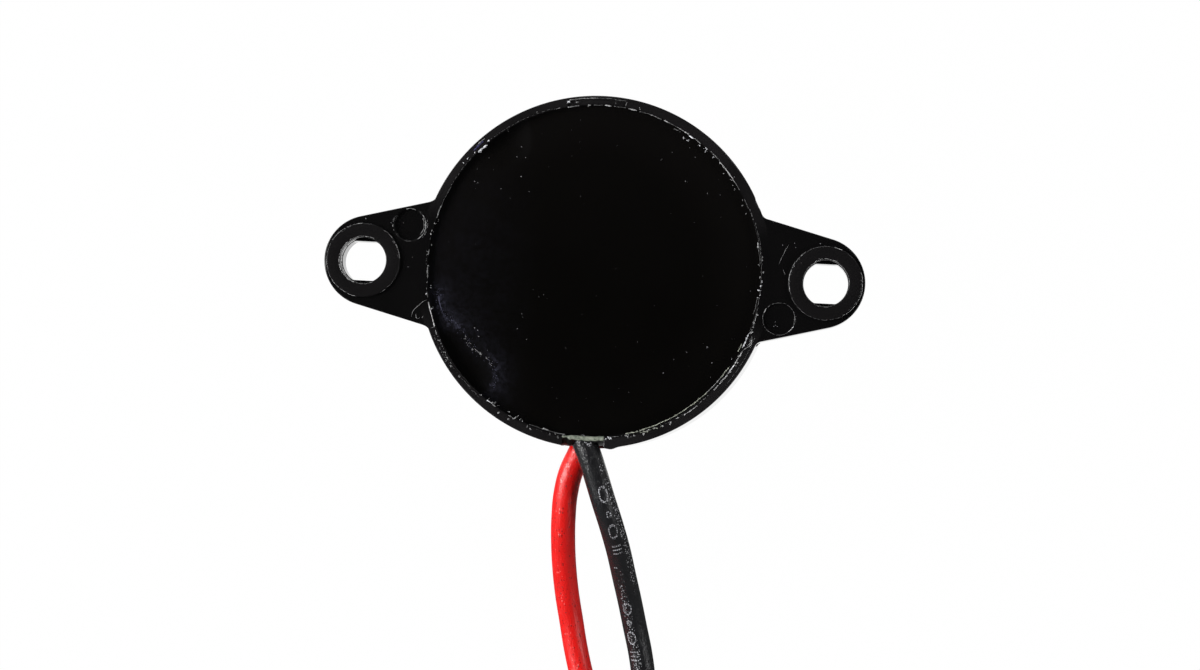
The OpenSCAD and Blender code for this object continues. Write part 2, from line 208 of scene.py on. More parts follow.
# The routes, as in the part's source: x, y and the height as a share of the height at the slot
RED_ROUTE = [[1.9, -7.7, 1], [-0.5, -11.9, 1], [-0.95, -13, 0.99], [-1.25, -14.5, 0.94],
    [-1.35, -16.1, 0.83], [-1.35, -17.8, 0.65], [-1.25, -19.5, 0.46], [-1.05, -21.2, 0.28],
    [-0.75, -22.9, 0.13], [-0.4, -24.7, 0.04], [0.1, -26.6, 0], [0.6, -28, 0],
    [1.2, -29.4, 0]]
BLACK_ROUTE = [[-2.1, -7.5, 0.9], [0.3, -11.9, 1], [0.75, -13.1, 0.99], [1.3, -14.7, 0.94],
    [1.85, -16.3, 0.82], [2.35, -18, 0.64], [2.75, -19.7, 0.46], [3.15, -21.4, 0.28],
    [3.55, -23.2, 0.13], [3.95, -24.9, 0.04], [4.25, -26.6, 0], [4.45, -28.5, 0],
    [4.5, -30.6, 0], [4.45, -32.9, 0]]
COIL_CENTRE = (-5.25, -38.5)
RED_COIL_R = 8.0
BLACK_COIL_R = 9.65
# Length of the insulation and of the bare tip, how far the tip reaches inside it, one turn of the tip's
# strands, and the distance between a lead's points
LEAD_LEN = 95.0
TIP_LEN = 5.0
TIP_INSIDE = 1
TWIST_LEN = 7
STEP = 0.15
RED_EXIT_Z = SLOT_LOW_Z + LEAD_R + 0.02
BLACK_EXIT_Z = RED_EXIT_Z + 2 * LEAD_R + 0.15


def run_along(line):
    """How far along a line each of its points lies."""
    return np.concatenate([[0], np.cumsum(np.linalg.norm(np.diff(line, axis=0), axis=1))])


def headings(line):
    """The unit heading of a line at each of its points."""
    ahead = np.gradient(line, axis=0)
    return ahead / np.linalg.norm(ahead, axis=1)[:, None]


def smooth_line(points, step):
    """Points a step apart on a smooth curve through the given ones, by cubics with mean slopes."""
    p = np.asarray(points, float)
    gap = np.linalg.norm(np.diff(p, axis=0), axis=1)
    at = np.concatenate([[0], np.cumsum(gap)])
    slope = np.gradient(p, at, axis=0)
    fine = np.linspace(0, at[-1], int(at[-1] / step * 4))
    i = np.clip(np.searchsorted(at, fine, side="right") - 1, 0, len(gap) - 1)
    h, t = gap[i][:, None], ((fine - at[i]) / gap[i])[:, None]
    line = ((1 + 2 * t) * (1 - t) ** 2 * p[i] + t * (1 - t) ** 2 * h * slope[i]
        + t * t * (3 - 2 * t) * p[i + 1] + t * t * (t - 1) * h * slope[i + 1])
    run = run_along(line)
    even = np.arange(0, run[-1], step)
    return np.stack([np.interp(even, run, line[:, k]) for k in range(3)], -1)


def lead_line(route, exit_z, coil_r, climb_from, climb_to):
    """A lead's centreline: its route, then clockwise round the coil, where from climb_from to climb_to
    (degrees, second time round) it rises onto the turn below."""
    way = [[x, y, LEAD_R + share * (exit_z - LEAD_R)] for x, y, share in route]
    for degrees in range(0, -600, -12):
        lift = np.clip((climb_from - 360 - degrees) / (climb_from - climb_to), 0, 1)
        lift = lift * lift * (3 - 2 * lift)
        a = math.radians(degrees)
        way.append([COIL_CENTRE[0] + coil_r * math.cos(a), COIL_CENTRE[1] + coil_r * math.sin(a),
            LEAD_R * (1 + 2 * lift)])
    line = smooth_line(way, STEP)
    line[:, 2] = np.maximum(line[:, 2], LEAD_R)
    return line


def frames_along(line):
    """The heading, level side and upper side at each point of a line."""
    ahead = headings(line)
    side = np.cross(ahead, [0, 0, 1])
    side /= np.linalg.norm(side, axis=1)[:, None]
    return ahead, side, np.cross(side, ahead)


def tube(name, line, radius, sides):
    """A round tube about a line, with a UV map: u once round, v in millimetres along it."""
    ahead, side, up = frames_along(line)
    a = np.linspace(0, 2 * np.pi, sides, endpoint=False)
    r = np.broadcast_to(np.asarray(radius, float), (len(line),))[:, None, None]
    rings = line[:, None] + r * (np.cos(a)[None, :, None] * side[:, None]
        + np.sin(a)[None, :, None] * up[:, None])
    item = closed_loft(name, rings, tidy=False)
    run = run_along(line)
    layer = item.data.uv_layers.new(name="along")
    loops = np.zeros(len(item.data.loops), int)
    item.data.loops.foreach_get("vertex_index", loops)
    row, column = loops // sides, (loops % sides).astype(float)
    start = np.zeros(len(item.data.polygons), int)
    item.data.polygons.foreach_get("loop_start", start)
    total = np.zeros(len(start), int)
    item.data.polygons.foreach_get("loop_total", total)
    first = np.repeat(column[start], total)
    column = np.where((first == sides - 1) & (column == 0), sides, column)
    layer.data.foreach_set("uv", np.stack([column / sides, run[row]], -1).astype(np.float32).ravel())
    return item


def insulation(name, line):
    """A lead's insulation: a tube with a round cut edge at its far end and a closed inner end."""
    keep = line[:int(LEAD_LEN / STEP) + 1]
    ahead = keep[-1] - keep[-2]
    ahead /= np.linalg.norm(ahead)
    edge = 0.08
    t = np.linspace(0, np.pi / 2, 5)[1:]
    extra = keep[-1] + np.outer(edge * np.sin(t), ahead)
    radius = np.concatenate([np.full(len(keep), LEAD_R), LEAD_R - edge + edge * np.cos(t)])
    return tube(name, np.concatenate([keep, extra]), radius, 28)


red_line = lead_line(RED_ROUTE, RED_EXIT_Z, RED_COIL_R, 90, 45)
black_line = lead_line(BLACK_ROUTE, BLACK_EXIT_Z, BLACK_COIL_R, 100, 50)
red_lead = insulation("red_insulation", red_line)
black_lead = insulation("black_insulation", black_line)
slot_x = float(box("exit_sealant")[0][0] + box("exit_sealant")[1][0]) / 2


def strands(name, line, seed):
    """The tinned conductor beyond the cut: six wires twisted round a seventh, sinking onto the turn below."""
    start = int(LEAD_LEN / STEP) - int(TIP_INSIDE / STEP)
    core = line[start:start + int((TIP_LEN + TIP_INSIDE) / STEP) + 1].copy()
    run = np.arange(len(core)) * STEP
    sink = np.clip((run - TIP_INSIDE) / 2.2, 0, 1)
    core[:, 2] -= (LEAD_R - STRAND_R) * sink * sink * (3 - 2 * sink)
    wire_r = STRAND_R / 3
    ahead, side, up = frames_along(core)
    wires = [tube(name, core, wire_r, 10)]
    draw = np.random.default_rng(seed)
    for k in range(6):
        a = 2 * np.pi * (k / 6 + run / TWIST_LEN)
        out = 2 * wire_r * (1 + 0.12 * draw.random() * np.clip((run - 4.5) / 1.5, 0, 1))
        end = len(core) - draw.integers(0, 2)
        ring = core + (out * np.cos(a))[:, None] * side + (out * np.sin(a))[:, None] * up
        wires.append(tube(name, ring[:end], wire_r, 10))
    return join(name, wires)


red_strands = strands("red_strands", red_line, 4)
black_strands = strands("black_strands", black_line, 5)

# ---- Case ----

# Radii of the soft moulded edges, outside and at the bore's mouth
EDGE = 0.09
MOUTH_EDGE = 0.02
# Degrees that a cutter's rounded edge turns through before it runs straight out over the face
LIP_TURN = 72
EAR_TAPER = math.radians(14.5)
EAR_FILLET_R = 0.5
BOSS_R = 2.4
FACE_T = 1.2
FACE_EDGE_R = 0.6
SOUND_HOLE_R = 1.5
CHAMBER_R = PLATE_R - 0.8
PLATE_BORE_R = PLATE_R + 0.15
# Where a mounting hole's flats begin below the rim, half the gap between them, and the wall's small step
FLATS_DEPTH = 1.0
FLATS_HALF = 1.275
HOLE_STEP = 0.025
PIN_MARK = {"r": 1.03, "at": np.array([12.1, -2.45]), "right_depth": 0.12, "left_depth": 0.25}
SLOT_W = 2.7
SLOT_CORNER_R = 0.4
GATE = {"from_x": -2.3, "to_x": 1.5, "depth": 0.15, "lip": 0.2}
# How far the round wall is drawn in on the whole, and how much less of that towards +X
WALL_TRIM = 0.08
OFF_CENTRE = 0.07
# Flash on the wall beside the leads and a dent at the right ear, and the slow wander of the bore's mouth, each
# as height, angle and width in degrees
WALL_BELLS = [(0.11, 278.5, 1.6), (0.06, 263, 0.5), (-0.1, 25.5, 1.3)]
MOUTH_TRIM = 0.09
MOUTH_BELLS = [(0.05, 215, 18), (-0.14, 285, 42)]


def bells(degrees, rows):
    """A sum of bells round the case: for each row, height times exp(-((degrees - angle) / width) squared)."""
    return sum(height * np.exp(-((degrees - angle) / width) ** 2) for height, angle, width in rows)


def case_plan():
    """The case's plan, anticlockwise from the right ear's end: points, outward normals, how far each is
    part of an ear (1) or of the round (0), and the angle at which the wall below the ear runs on."""
    normal = np.array([math.sin(EAR_TAPER), math.cos(EAR_TAPER)])
    along = np.array([-math.cos(EAR_TAPER), math.sin(EAR_TAPER)])
    out = EAR_END_R + EAR_END_X * math.sin(EAR_TAPER) + EAR_FILLET_R
    centre = out * normal - along * math.sqrt((CASE_R + EAR_FILLET_R) ** 2 - out ** 2)
    root = math.atan2(centre[1], centre[0])
    end = np.linspace(0, np.pi / 2 - EAR_TAPER, 30)
    end_n = unit(end)
    end_p = [EAR_END_X, 0] + EAR_END_R * end_n
    t = np.linspace(0, 1, 26)[1:-1, None]
    side_p = end_p[-1] * (1 - t) + (centre - EAR_FILLET_R * normal) * t
    fillet = np.linspace(3 * np.pi / 2 - EAR_TAPER, np.pi + root, 12)
    fillet_n = -unit(fillet)
    ear_p = np.concatenate([end_p, side_p, centre - EAR_FILLET_R * fillet_n])
    ear_n = np.concatenate([end_n, np.repeat(normal[None], len(t), 0), fillet_n])
    run = run_along(ear_p)
    share = np.ones(len(ear_p))
    share[-len(fillet):] = np.cos(np.linspace(0, np.pi / 2, len(fillet)))
    arc = np.linspace(root, np.pi / 2, 120)[1:]
    arc_n = unit(arc)
    p = np.concatenate([ear_p, CASE_R * arc_n])
    n = np.concatenate([ear_n, arc_n])
    share = np.concatenate([share, np.zeros(len(arc))])
    below = np.concatenate([root * run / run[-1], arc])
    # The quarter is mirrored to the left, and that half towards the leads
    for flip, turn, last in (([-1, 1], np.pi, None), ([1, -1], 2 * np.pi, 0)):
        back = slice(-2, last, -1)
        p = np.concatenate([p, p[back] * flip])
        n = np.concatenate([n, n[back] * flip])
        share = np.concatenate([share, share[back]])
        below = np.concatenate([below, turn - below[back]])
    return p, n, share, below


def case_blank():
    """The case before its holes: the plan carried down the wall with round edges, drawn in under the ears
    to the round wall, then down to the rounded edge of the sounding face."""
    p, n, ear, below = case_plan()
    trim = WALL_TRIM - OFF_CENTRE * np.cos(below)
    p = p + n * ((1 - ear) * (bells(np.degrees(below), WALL_BELLS) - trim))[:, None]
    round_n = unit(below)
    round_p = (CASE_R - trim)[:, None] * round_n

    def level(points, z):
        return np.concatenate([points, np.broadcast_to(np.asarray(z, float), (len(p),))[:, None]], 1)

    rings = [level(p - inset * n, z) for inset, z in quarter((EDGE, RIM_Z), (0, RIM_Z - EDGE), (0, RIM_Z))]
    rings += [level(p, z) for z in np.linspace(RIM_Z - EDGE, EAR_LOW_Z + EDGE, 5)[1:]]
    for inset, z in quarter((0, EAR_LOW_Z + EDGE), (EDGE, EAR_LOW_Z), (0, EAR_LOW_Z))[1:]:
        rings.append(level(p - (ear * inset)[:, None] * n, z))
    for out, drop in quarter((EDGE, 0.01), (0, EDGE), (0, 0)):
        rings.append(level(round_p + (ear * out)[:, None] * round_n,
            EAR_LOW_Z - drop * ear - (1 - ear) * (0.03 + drop)))
    rings += [level(round_p, z) for z in np.linspace(EAR_LOW_Z - 0.3, FACE_EDGE_R, 6)]
    for inset, z in quarter((0, FACE_EDGE_R), (FACE_EDGE_R, 0), (0, 0), 8)[1:]:
        rings.append(level(round_p - inset * round_n, z))
    return closed_loft("case_shell", np.array(rings))


def lip(r, z, edge):
    """Profile points of a cutter that leaves a rounded edge: up the wall at r, then out over the face at z."""
    t = np.radians(np.linspace(0, LIP_TURN, 5))
    points = np.stack([r + edge - edge * np.cos(t), z - edge + edge * np.sin(t)], -1)
    rise = 0.3 * edge
    out = points[-1] + [rise / math.tan(math.radians(90 - LIP_TURN)), rise]
    return np.concatenate([points, [out, [out[0], z + 1]]])


def mouth_r(angle):
    """The bore's radius at its mouth: drawn in a little, slowly wandering, with a few sharp nicks."""
    slow = bells(np.degrees(angle) % 360, MOUTH_BELLS)
    return BORE_R - MOUTH_TRIM + slow + 0.012 * waves(angle, 3, 5, 40) + 0.02 * waves(angle, 8, 40, 200) ** 3


def bore_cutter():
    """The stepped bore, from the sound hole up, with a ragged edge to its mouth."""
    hole = lip(SOUND_HOLE_R, 0, 0.12)[::-1] * [1, -1]
    mouth = lip(BORE_R, RIM_Z, MOUTH_EDGE)
    profile = np.concatenate([[[0, -1]], hole, [[SOUND_HOLE_R, FACE_T], [CHAMBER_R, FACE_T],
        [CHAMBER_R, SEAT_Z], [PLATE_BORE_R, SEAT_Z], [PLATE_BORE_R, RESIN_LOW_Z], [BORE_R, RESIN_LOW_Z],
        [BORE_R, RIM_Z - 1]], mouth, [[0, RIM_Z + 1]]])
    count = 900
    angle = np.linspace(0, 2 * np.pi, count, endpoint=False)
    r = np.repeat(profile[:, :1], count, 1)
    z = np.repeat(profile[:, 1:], count, 1)
    near = ((z > RIM_Z - 0.5) & (r > 1)).astype(float)
    r = r + near * (mouth_r(angle) - BORE_R)
    return closed_loft("bore", np.stack([r * np.cos(angle), r * np.sin(angle), z], -1))


def hole_cutter(x):
    """A mounting hole: round at the boss, then clipped by two flats from FLATS_DEPTH below the rim. Two
    small steps in its wall are left by the core pin."""
    a = np.linspace(0, 2 * np.pi, 96, endpoint=False)
    deep_r, upper_r, flats_z = HOLE_R - 2 * HOLE_STEP, HOLE_R - HOLE_STEP, RIM_Z - FLATS_DEPTH
    rings = []
    for r, z in ((HOLE_R + 0.04, EAR_LOW_Z - 1), (HOLE_R + 0.04, EAR_LOW_Z), (deep_r, EAR_LOW_Z + 0.08),
            (deep_r, flats_z)):
        y = np.clip(r * np.sin(a), -FLATS_HALF, FLATS_HALF)
        rings.append(ring_of(x + r * np.cos(a), y, z))
    for r, z in ((upper_r, flats_z), (upper_r, RIM_Z - 0.3), (HOLE_R, RIM_Z - 0.28), *lip(HOLE_R, BOSS_Z, 0.05)):
        rings.append(ring_of(x + r * np.cos(a), r * np.sin(a), z))
    return closed_loft("hole", np.array(rings))


def boss(x):
    """The raised ring's outer form: a low disc with a rounded top edge and a small fillet at its foot."""
    foot, crown = 0.05, 0.07
    profile = np.concatenate([[[0, RIM_Z - 0.6], [BOSS_R - 0.2, RIM_Z - 0.6], [BOSS_R + foot, RIM_Z - 0.02]],
        quarter((BOSS_R + foot, RIM_Z - 0.01), (BOSS_R, RIM_Z + foot), (BOSS_R, RIM_Z - 0.01), 4),
        quarter((BOSS_R, BOSS_Z - crown), (BOSS_R - crown, BOSS_Z), (BOSS_R, BOSS_Z)),
        [[0, BOSS_Z]]])
    return turned("boss", profile, 160, (x, 0))


def pin_mark_cutter(side, depth, edge):
    """An ejector pin's shallow round print, with a rounded rim."""
    r = PIN_MARK["r"]
    floor = RIM_Z - depth
    profile = np.concatenate([[[0, floor], [r - 0.06, floor]],
        quarter((r - 0.06, floor), (r, floor + 0.05), (r, floor), 4)[1:], lip(r, RIM_Z, edge), [[0, RIM_Z + 1]]])
    return turned("pin_mark", profile, 96, tuple(side * PIN_MARK["at"]))


def slot_cutter():
    """The slot in the rim: its section carried outwards, the right side rounding off at the outer wall."""
    c = SLOT_CORNER_R
    left, right = slot_x - SLOT_W / 2, slot_x + SLOT_W / 2
    rings = []
    for y in np.concatenate([[BORE_R - 0.5], np.linspace(CASE_R - 0.35, CASE_R + 0.1, 10), [CASE_R + 1]]):
        t = np.clip((y - CASE_R + 0.3) / 0.36, 0, 1)
        r = right + 0.3 * (1 - math.sqrt(1 - t * t))
        corner = quarter((left, SLOT_LOW_Z + c), (left + c, SLOT_LOW_Z), (left, SLOT_LOW_Z), 6)
        other = quarter((r - c, SLOT_LOW_Z), (r, SLOT_LOW_Z + c), (r, SLOT_LOW_Z), 6)
        rim = lip(0, RIM_Z, 0.06)
        section = np.concatenate([rim[::-1] * [-1, 1] + [left, 0], corner, other, rim + [r, 0]])
        rings.append(np.stack([section[:, 0], np.full(len(section), -y), section[:, 1]], -1))
    return closed_loft("slot", np.array(rings))


def gate_cutter():
    """The gate's shallow recess in the rim, opposite the slot, with a thin lip left outside it."""
    rings = []
    floor = RIM_Z - GATE["depth"]
    for grow, z in ((-0.03, floor), (0, floor + 0.03), *lip(0, RIM_Z, 0.04)):
        r = CASE_R - GATE["lip"] + grow
        x = np.linspace(GATE["to_x"] + grow, GATE["from_x"] - grow, 40)
        arc = np.stack([x, np.sqrt(r * r - x * x)], -1)
        plan = np.concatenate([arc, [[arc[-1, 0], BORE_R - 1.2], [arc[0, 0], BORE_R - 1.2]]])
        rings.append(np.concatenate([plan, np.full((len(plan), 1), z)], 1))
    return closed_loft("gate", np.array(rings))


def case_shell():
    """The blank with its bosses added and its bore, holes, prints, slot and gate recess cut."""
    shell = case_blank()
    bosses = [boss(HOLE_X), boss(-HOLE_X)]
    cutters = [bore_cutter(), hole_cutter(HOLE_X), hole_cutter(-HOLE_X),
        pin_mark_cutter(1, PIN_MARK["right_depth"], 0.05), pin_mark_cutter(-1, PIN_MARK["left_depth"], 0.09),
        slot_cutter(), gate_cutter()]
    steps = [("UNION", tool) for tool in bosses] + [("DIFFERENCE", tool) for tool in cutters]
    for operation, tool in steps:
        step = shell.modifiers.new("step", "BOOLEAN")
        step.operation, step.object, step.solver = operation, tool, "EXACT"
    ready = bpy.data.meshes.new_from_object(shell.evaluated_get(bpy.context.evaluated_depsgraph_get()))
    shell.modifiers.clear()
    shell.data = ready
    for _, tool in steps:
        bpy.data.objects.remove(tool)
    ready.shade_smooth()
    ready.set_sharp_from_angle(angle=math.radians(35))
    even = shell.modifiers.new("flat_faces_first", "WEIGHTED_NORMAL")
    even.keep_sharp, even.weight = True, 100
    return shell


case = case_shell()

# ---- Resin, sealant and what lies on the rim ----

RESIN_Z = RESIN_EDGE_Z - 0.2
BOARD_R = box("circuit_board")[1][0]
BOARD_BACK_Z = box("circuit_board")[1][2]
# The two sunken spots: the ball that would fill one, its depth, their middles and how far each is drawn out
# along the wall
DIP_BALL_R = 6.5
DIP_DEPTH = 0.25
DIPS = [{"r": 10.4, "degrees": 127, "long": 1.0, "seed": 31},
    {"r": 10.3, "degrees": 218, "long": 1.4, "seed": 32}]
# The line along which the pale band beside the lower dip lies, part cured film and part painted sheen
FILM_AND_SHEEN_EDGE = np.array([(-10, -1.8), (-9.8, -3), (-9.2, -3.5), (-8.4, -4.3), (-7.6, -5.4), (-6.7, -5.9),
    (-6.2, -6.5), (-6, -7.2), (-6.2, -7.8)])
# The resin's swell over the leads
LEAD_MOUND = {"x": -0.5, "y": -10.3, "height": 0.16, "wide": 1.3, "long": 0.9}


def polar(r, degrees):
    """The point at a distance and an angle from the case's middle."""
    return r * np.cos(np.radians(degrees)), r * np.sin(np.radians(degrees))


def soft_min(a, b, blend):
    """The lower of two heights, with the crease between them rounded over about blend."""
    return (a + b - np.sqrt((a - b) ** 2 + blend * blend)) / 2


def resin_height(x, y, wall_r):
    """The resin's surface: level, with slow waves, drawn up at the wall as exp(-distance), dipped where two
    bubbles left shallow bowls."""
    r = np.hypot(x, y)
    degrees = np.degrees(np.arctan2(y, x)) % 360
    z = RESIN_Z + 0.012 * ripple(x, y, 6, 7) + 0.0016 * ripple(x, y, 7, 1.3)
    z = z + (0.05 + 0.02 * waves(np.radians(degrees), 12, 2, 30)) * np.exp(-(wall_r - r) / 0.3)
    z = z + LEAD_MOUND["height"] * np.exp(-((x - LEAD_MOUND["x"]) / LEAD_MOUND["wide"]) ** 2
        - ((y - LEAD_MOUND["y"]) / LEAD_MOUND["long"]) ** 2)
    for place in DIPS:
        away = dip_distance(x, y, place)
        deep = np.sqrt(np.maximum(DIP_BALL_R ** 2 - away ** 2, 0.04))
        z = soft_min(z, RESIN_Z - DIP_DEPTH + DIP_BALL_R - deep, 0.03)
    return z


def dip_distance(x, y, place):
    """How far a point is from a dip's middle, less along the wall where the dip is drawn out, and uneven."""
    a = math.radians(place["degrees"])
    cx, cy = polar(place["r"], place["degrees"])
    px = x - cx + 0.12 * ripple(x, y, place["seed"], 2.2)
    py = y - cy + 0.12 * ripple(x, y, place["seed"] + 9, 2.2)
    out, round_it = px * math.cos(a) + py * math.sin(a), py * math.cos(a) - px * math.sin(a)
    return np.hypot(out, round_it / place["long"])


def line_distance(x, y, line):
    """The distance from points to a line of straight pieces."""
    best = np.full(np.shape(x), 1e9)
    for p, q in zip(line[:-1], line[1:]):
        along = q - p
        t = np.clip(((x - p[0]) * along[0] + (y - p[1]) * along[1]) / (along @ along), 0, 1)
        best = np.minimum(best, np.hypot(x - p[0] - t * along[0], y - p[1] - t * along[1]))
    return best


def haze_and_sheen(x, y):
    """How pale and bluish the resin is painted, from 0 to 1: a faint painted sheen on the left, none in the dips,
    and a mottled pale band beside the lower dip, part cured film and part painted sheen."""
    reach = math.sqrt(2 * DIP_BALL_R * DIP_DEPTH)
    clear = np.ones(np.shape(x))
    for place in DIPS:
        clear = clear * np.clip((dip_distance(x, y, place) - reach + 0.25) / 0.4, 0, 1)
    # Painted sheen: the left side paler and bluish; then a pale band along the edge line, part film and part
    # painted sheen
    left_sheen = 0.08 * np.clip((-x - 3.5) / 4, 0, 1) * np.clip((7.5 - y) / 6, 0.25, 1)
    left_sheen = left_sheen * (0.7 + 0.3 * ripple(x, y, 21, 1.6))
    away = line_distance(x, y, FILM_AND_SHEEN_EDGE)
    edge = 0.8 * np.exp(-(away / 0.3) ** 2) * np.clip(0.3 + 0.8 * ripple(x, y, 22, 0.35), 0, 1)
    edge = edge + 0.3 * np.exp(-(away / 0.9) ** 2) * np.clip(0.6 + 0.4 * ripple(x, y, 23, 0.6), 0, 1)
    return np.clip(left_sheen * clear + edge * np.clip(clear + 0.25, 0, 1), 0, 1)


def resin_fill():
    """The potting: its surface on a polar grid that closes up towards the wall, then round the board."""
    count = 500
    angle = np.linspace(0, 2 * np.pi, count, endpoint=False)
    wall = 0.6 * mouth_r(angle) + 0.4 * BORE_R + 0.05
    share = np.concatenate([np.linspace(0.002, 0.86, 60), 0.86 + 0.14 * np.linspace(0, 1, 62)[1:] ** 0.8])
    r = share[:, None] * wall[None]
    x, y = r * np.cos(angle), r * np.sin(angle)
    rows = [np.stack([x, y, resin_height(x, y, wall[None])], -1)]
    for radius, level in ((BORE_R, RIM_Z - 1), (BORE_R, RESIN_LOW_Z), (BOARD_R, RESIN_LOW_Z),
            (BOARD_R, BOARD_BACK_Z), (0.02, BOARD_BACK_Z)):
        rows.append(ring_of(radius * np.cos(angle), radius * np.sin(angle), level)[None])
    item = closed_loft("resin_fill", np.concatenate(rows))
    spots = np.zeros(len(item.data.vertices) * 3)
    item.data.vertices.foreach_get("co", spots)
    x, y = spots.reshape(-1, 3)[:, :2].T / MM
    item.data.attributes.new("haze_and_sheen", "FLOAT", "POINT").data.foreach_set("value", haze_and_sheen(x, y))
    return item


def broken(degrees, draw, wave, share):
    """A ragged row of short humps, wave degrees apart, over 0 on about the given share of the way."""
    k = 2 * np.pi / wave
    total = np.zeros(len(degrees))
    for i in range(14):
        total += np.sin(k * draw.uniform(0.5, 2.4) * degrees + draw.uniform(0, 2 * np.pi))
    total /= math.sqrt(7)
    return total - np.quantile(total, 1 - share)


def top_z(x, y, over=0.01):
    """The height of what lies open at a place: the resin inside the mouth, and the rim and the ears outside
    it or less than over inside it."""
    edge = mouth_r(np.arctan2(y, x))
    return np.where(np.hypot(x, y) > edge - over, RIM_Z, resin_height(x, y, edge))


def tint(item, colour):
    """Gives a piece a colour of its own, which it keeps when pieces are joined."""
    layer = item.data.attributes.new("tint", "FLOAT_COLOR", "POINT")
    layer.data.foreach_set("color", np.tile([*colour, 1.0], len(item.data.vertices)))
    return item


# Tones of what is worn, flashed or stuck on, and of the glints and edge highlights painted on those strips and
# lumps
GREY, MID, PALE, WHITE = (0.13,) * 3, (0.27,) * 3, (0.5,) * 3, (0.92, 0.93, 0.97)
SCUFF_GLINT_TONE, SHEEN_TONE, GREEN = (0.04, 0.036, 0.12), (0.15, 0.15, 0.24), (0.42, 0.44, 0.36)


def flash_and_glint_strip(seed, centre, level, r, start, end, width, share, colour):
    """A worn or flashed edge, in places toned pale as a painted edge highlight: a strip on a circle from start to
    end (degrees), across it half an ellipse.
    Its height comes and goes along it, so that it shows on about the given share of the way; level is its
    height, or None where it lies on whatever is open there."""
    draw = np.random.default_rng(seed)
    degrees = np.linspace(start, end, max(int(math.radians(end - start) * r / 0.03), 8))
    wave = math.degrees(0.4 / r)
    height = 0.02 * np.clip(broken(degrees, draw, wave, share), -1, 1.2)
    inner = np.linspace(0, 1, len(degrees))
    height = np.where(np.minimum(inner, 1 - inner) * len(degrees) < 1.5, -0.03, height)
    half = width / 2 * (0.75 + 0.25 * np.clip(broken(degrees, draw, wave, 0.5), -1, 1))
    middle = r + 0.012 * np.clip(broken(degrees, draw, 4 * wave, 0.5), -1, 1)
    t = np.linspace(-1, 1, 7)
    radius, a = middle[:, None] + half[:, None] * t, np.radians(degrees)[:, None]
    x, y = centre[0] + radius * np.cos(a), centre[1] + radius * np.sin(a)
    base = np.broadcast_to(top_z(x[:, 3:4], y[:, 3:4], 0.14) if level is None else level, x.shape)
    z = base - 0.03 + (0.03 + height)[:, None] * np.sqrt(1 - t * t)
    under = np.stack([x, y, base - 0.06], -1)[:, ::-1]
    return tint(closed_loft("flash_and_glint_strip", np.concatenate([np.stack([x, y, z], -1), under[:, 1:-1]], 1)), colour)


def sealant_fill():
    """The sealant in the slot: level with the rim in a ragged strip along its inner edge, then sloping down
    and outwards to where the leads leave it. Its section is carried across the slot and bent to the rim."""
    half, c = SLOT_W / 2, SLOT_CORNER_R
    rings = []
    for dx in np.concatenate([np.linspace(-half, -half + c, 10), np.linspace(-half + c, half - c, 60)[1:-1],
            np.linspace(half - c, half, 10)]):
        x = slot_x + dx
        foot = SLOT_LOW_Z + c - math.sqrt(c * c - max(abs(dx) - half + c, 0) ** 2)
        thin = np.clip((0.6 - half - dx) / 0.35, 0, 1)
        left = np.clip((-0.7 - x) / 0.25, 0, 1)
        inner = 10.65 + 0.1 * thin + 0.025 * float(ripple(x, 0, 51, 0.45))
        outer = 10.95 - 0.06 * thin + 0.05 * float(ripple(x, 0, 52, 0.35))
        crown = RIM_Z + 0.012 + 0.012 * float(ripple(x, 0, 53, 0.4))
        section = [(inner - 0.02, RIM_Z - 0.4), (inner, RIM_Z - 0.08), (inner + 0.03, crown), (outer - 0.03, crown),
            (outer, RIM_Z - 0.1), (outer + 0.1 + 0.25 * left, RIM_Z - 0.5 + 0.2 * left),
            (11.22 + 0.15 * left, RIM_Z - 1.4), (11.26 + 0.12 * left, foot), (10.9, foot), (10.9, RIM_Z - 0.6)]
        rings.append([(x, -math.sqrt(d * d - x * x), z) for d, z in section])
    return closed_loft("sealant_fill", np.array(rings))


def pebbles(name, places, seed):
    """Crumbs: for each (x, y, z, radius) an octahedron cut finer once, its points pushed in and out and the
    whole flattened, sunk by a third into what it lies on."""
    draw = np.random.default_rng(seed)
    corners = np.array([[1, 0, 0], [0, 1, 0], [-1, 0, 0], [0, -1, 0], [0, 0, 1], [0, 0, -1]], float)
    faces = [(0, 1, 4), (1, 2, 4), (2, 3, 4), (3, 0, 4), (1, 0, 5), (2, 1, 5), (3, 2, 5), (0, 3, 5)]
    middles = {}
    points = list(corners)
    fine = []
    for a, b, c in faces:
        mids = []
        for p, q in ((a, b), (b, c), (c, a)):
            key = (min(p, q), max(p, q))
            if key not in middles:
                middles[key] = len(points)
                m = points[p] + points[q]
                points.append(m / np.linalg.norm(m))
            mids.append(middles[key])
        ab, bc, ca = mids
        fine += [(a, ab, ca), (b, bc, ab), (c, ca, bc), (ab, bc, ca)]
    points, fine = np.array(points), np.array(fine)
    all_points, all_faces = [], []
    for n, (x, y, z, r) in enumerate(places):
        lump = points * (0.75 + 0.5 * draw.random((len(points), 1)))
        turn = draw.uniform(0, 2 * np.pi)
        spin = np.array([[math.cos(turn), -math.sin(turn), 0], [math.sin(turn), math.cos(turn), 0], [0, 0, 1]])
        lump = (lump * [1, draw.uniform(0.5, 0.9), 0.45]) @ spin.T * r
        all_points.append(lump + [x, y, z + 0.2 * r])
        all_faces.append(fine + n * len(points))
    return mesh_object(name, np.concatenate(all_points), np.concatenate(all_faces).tolist())


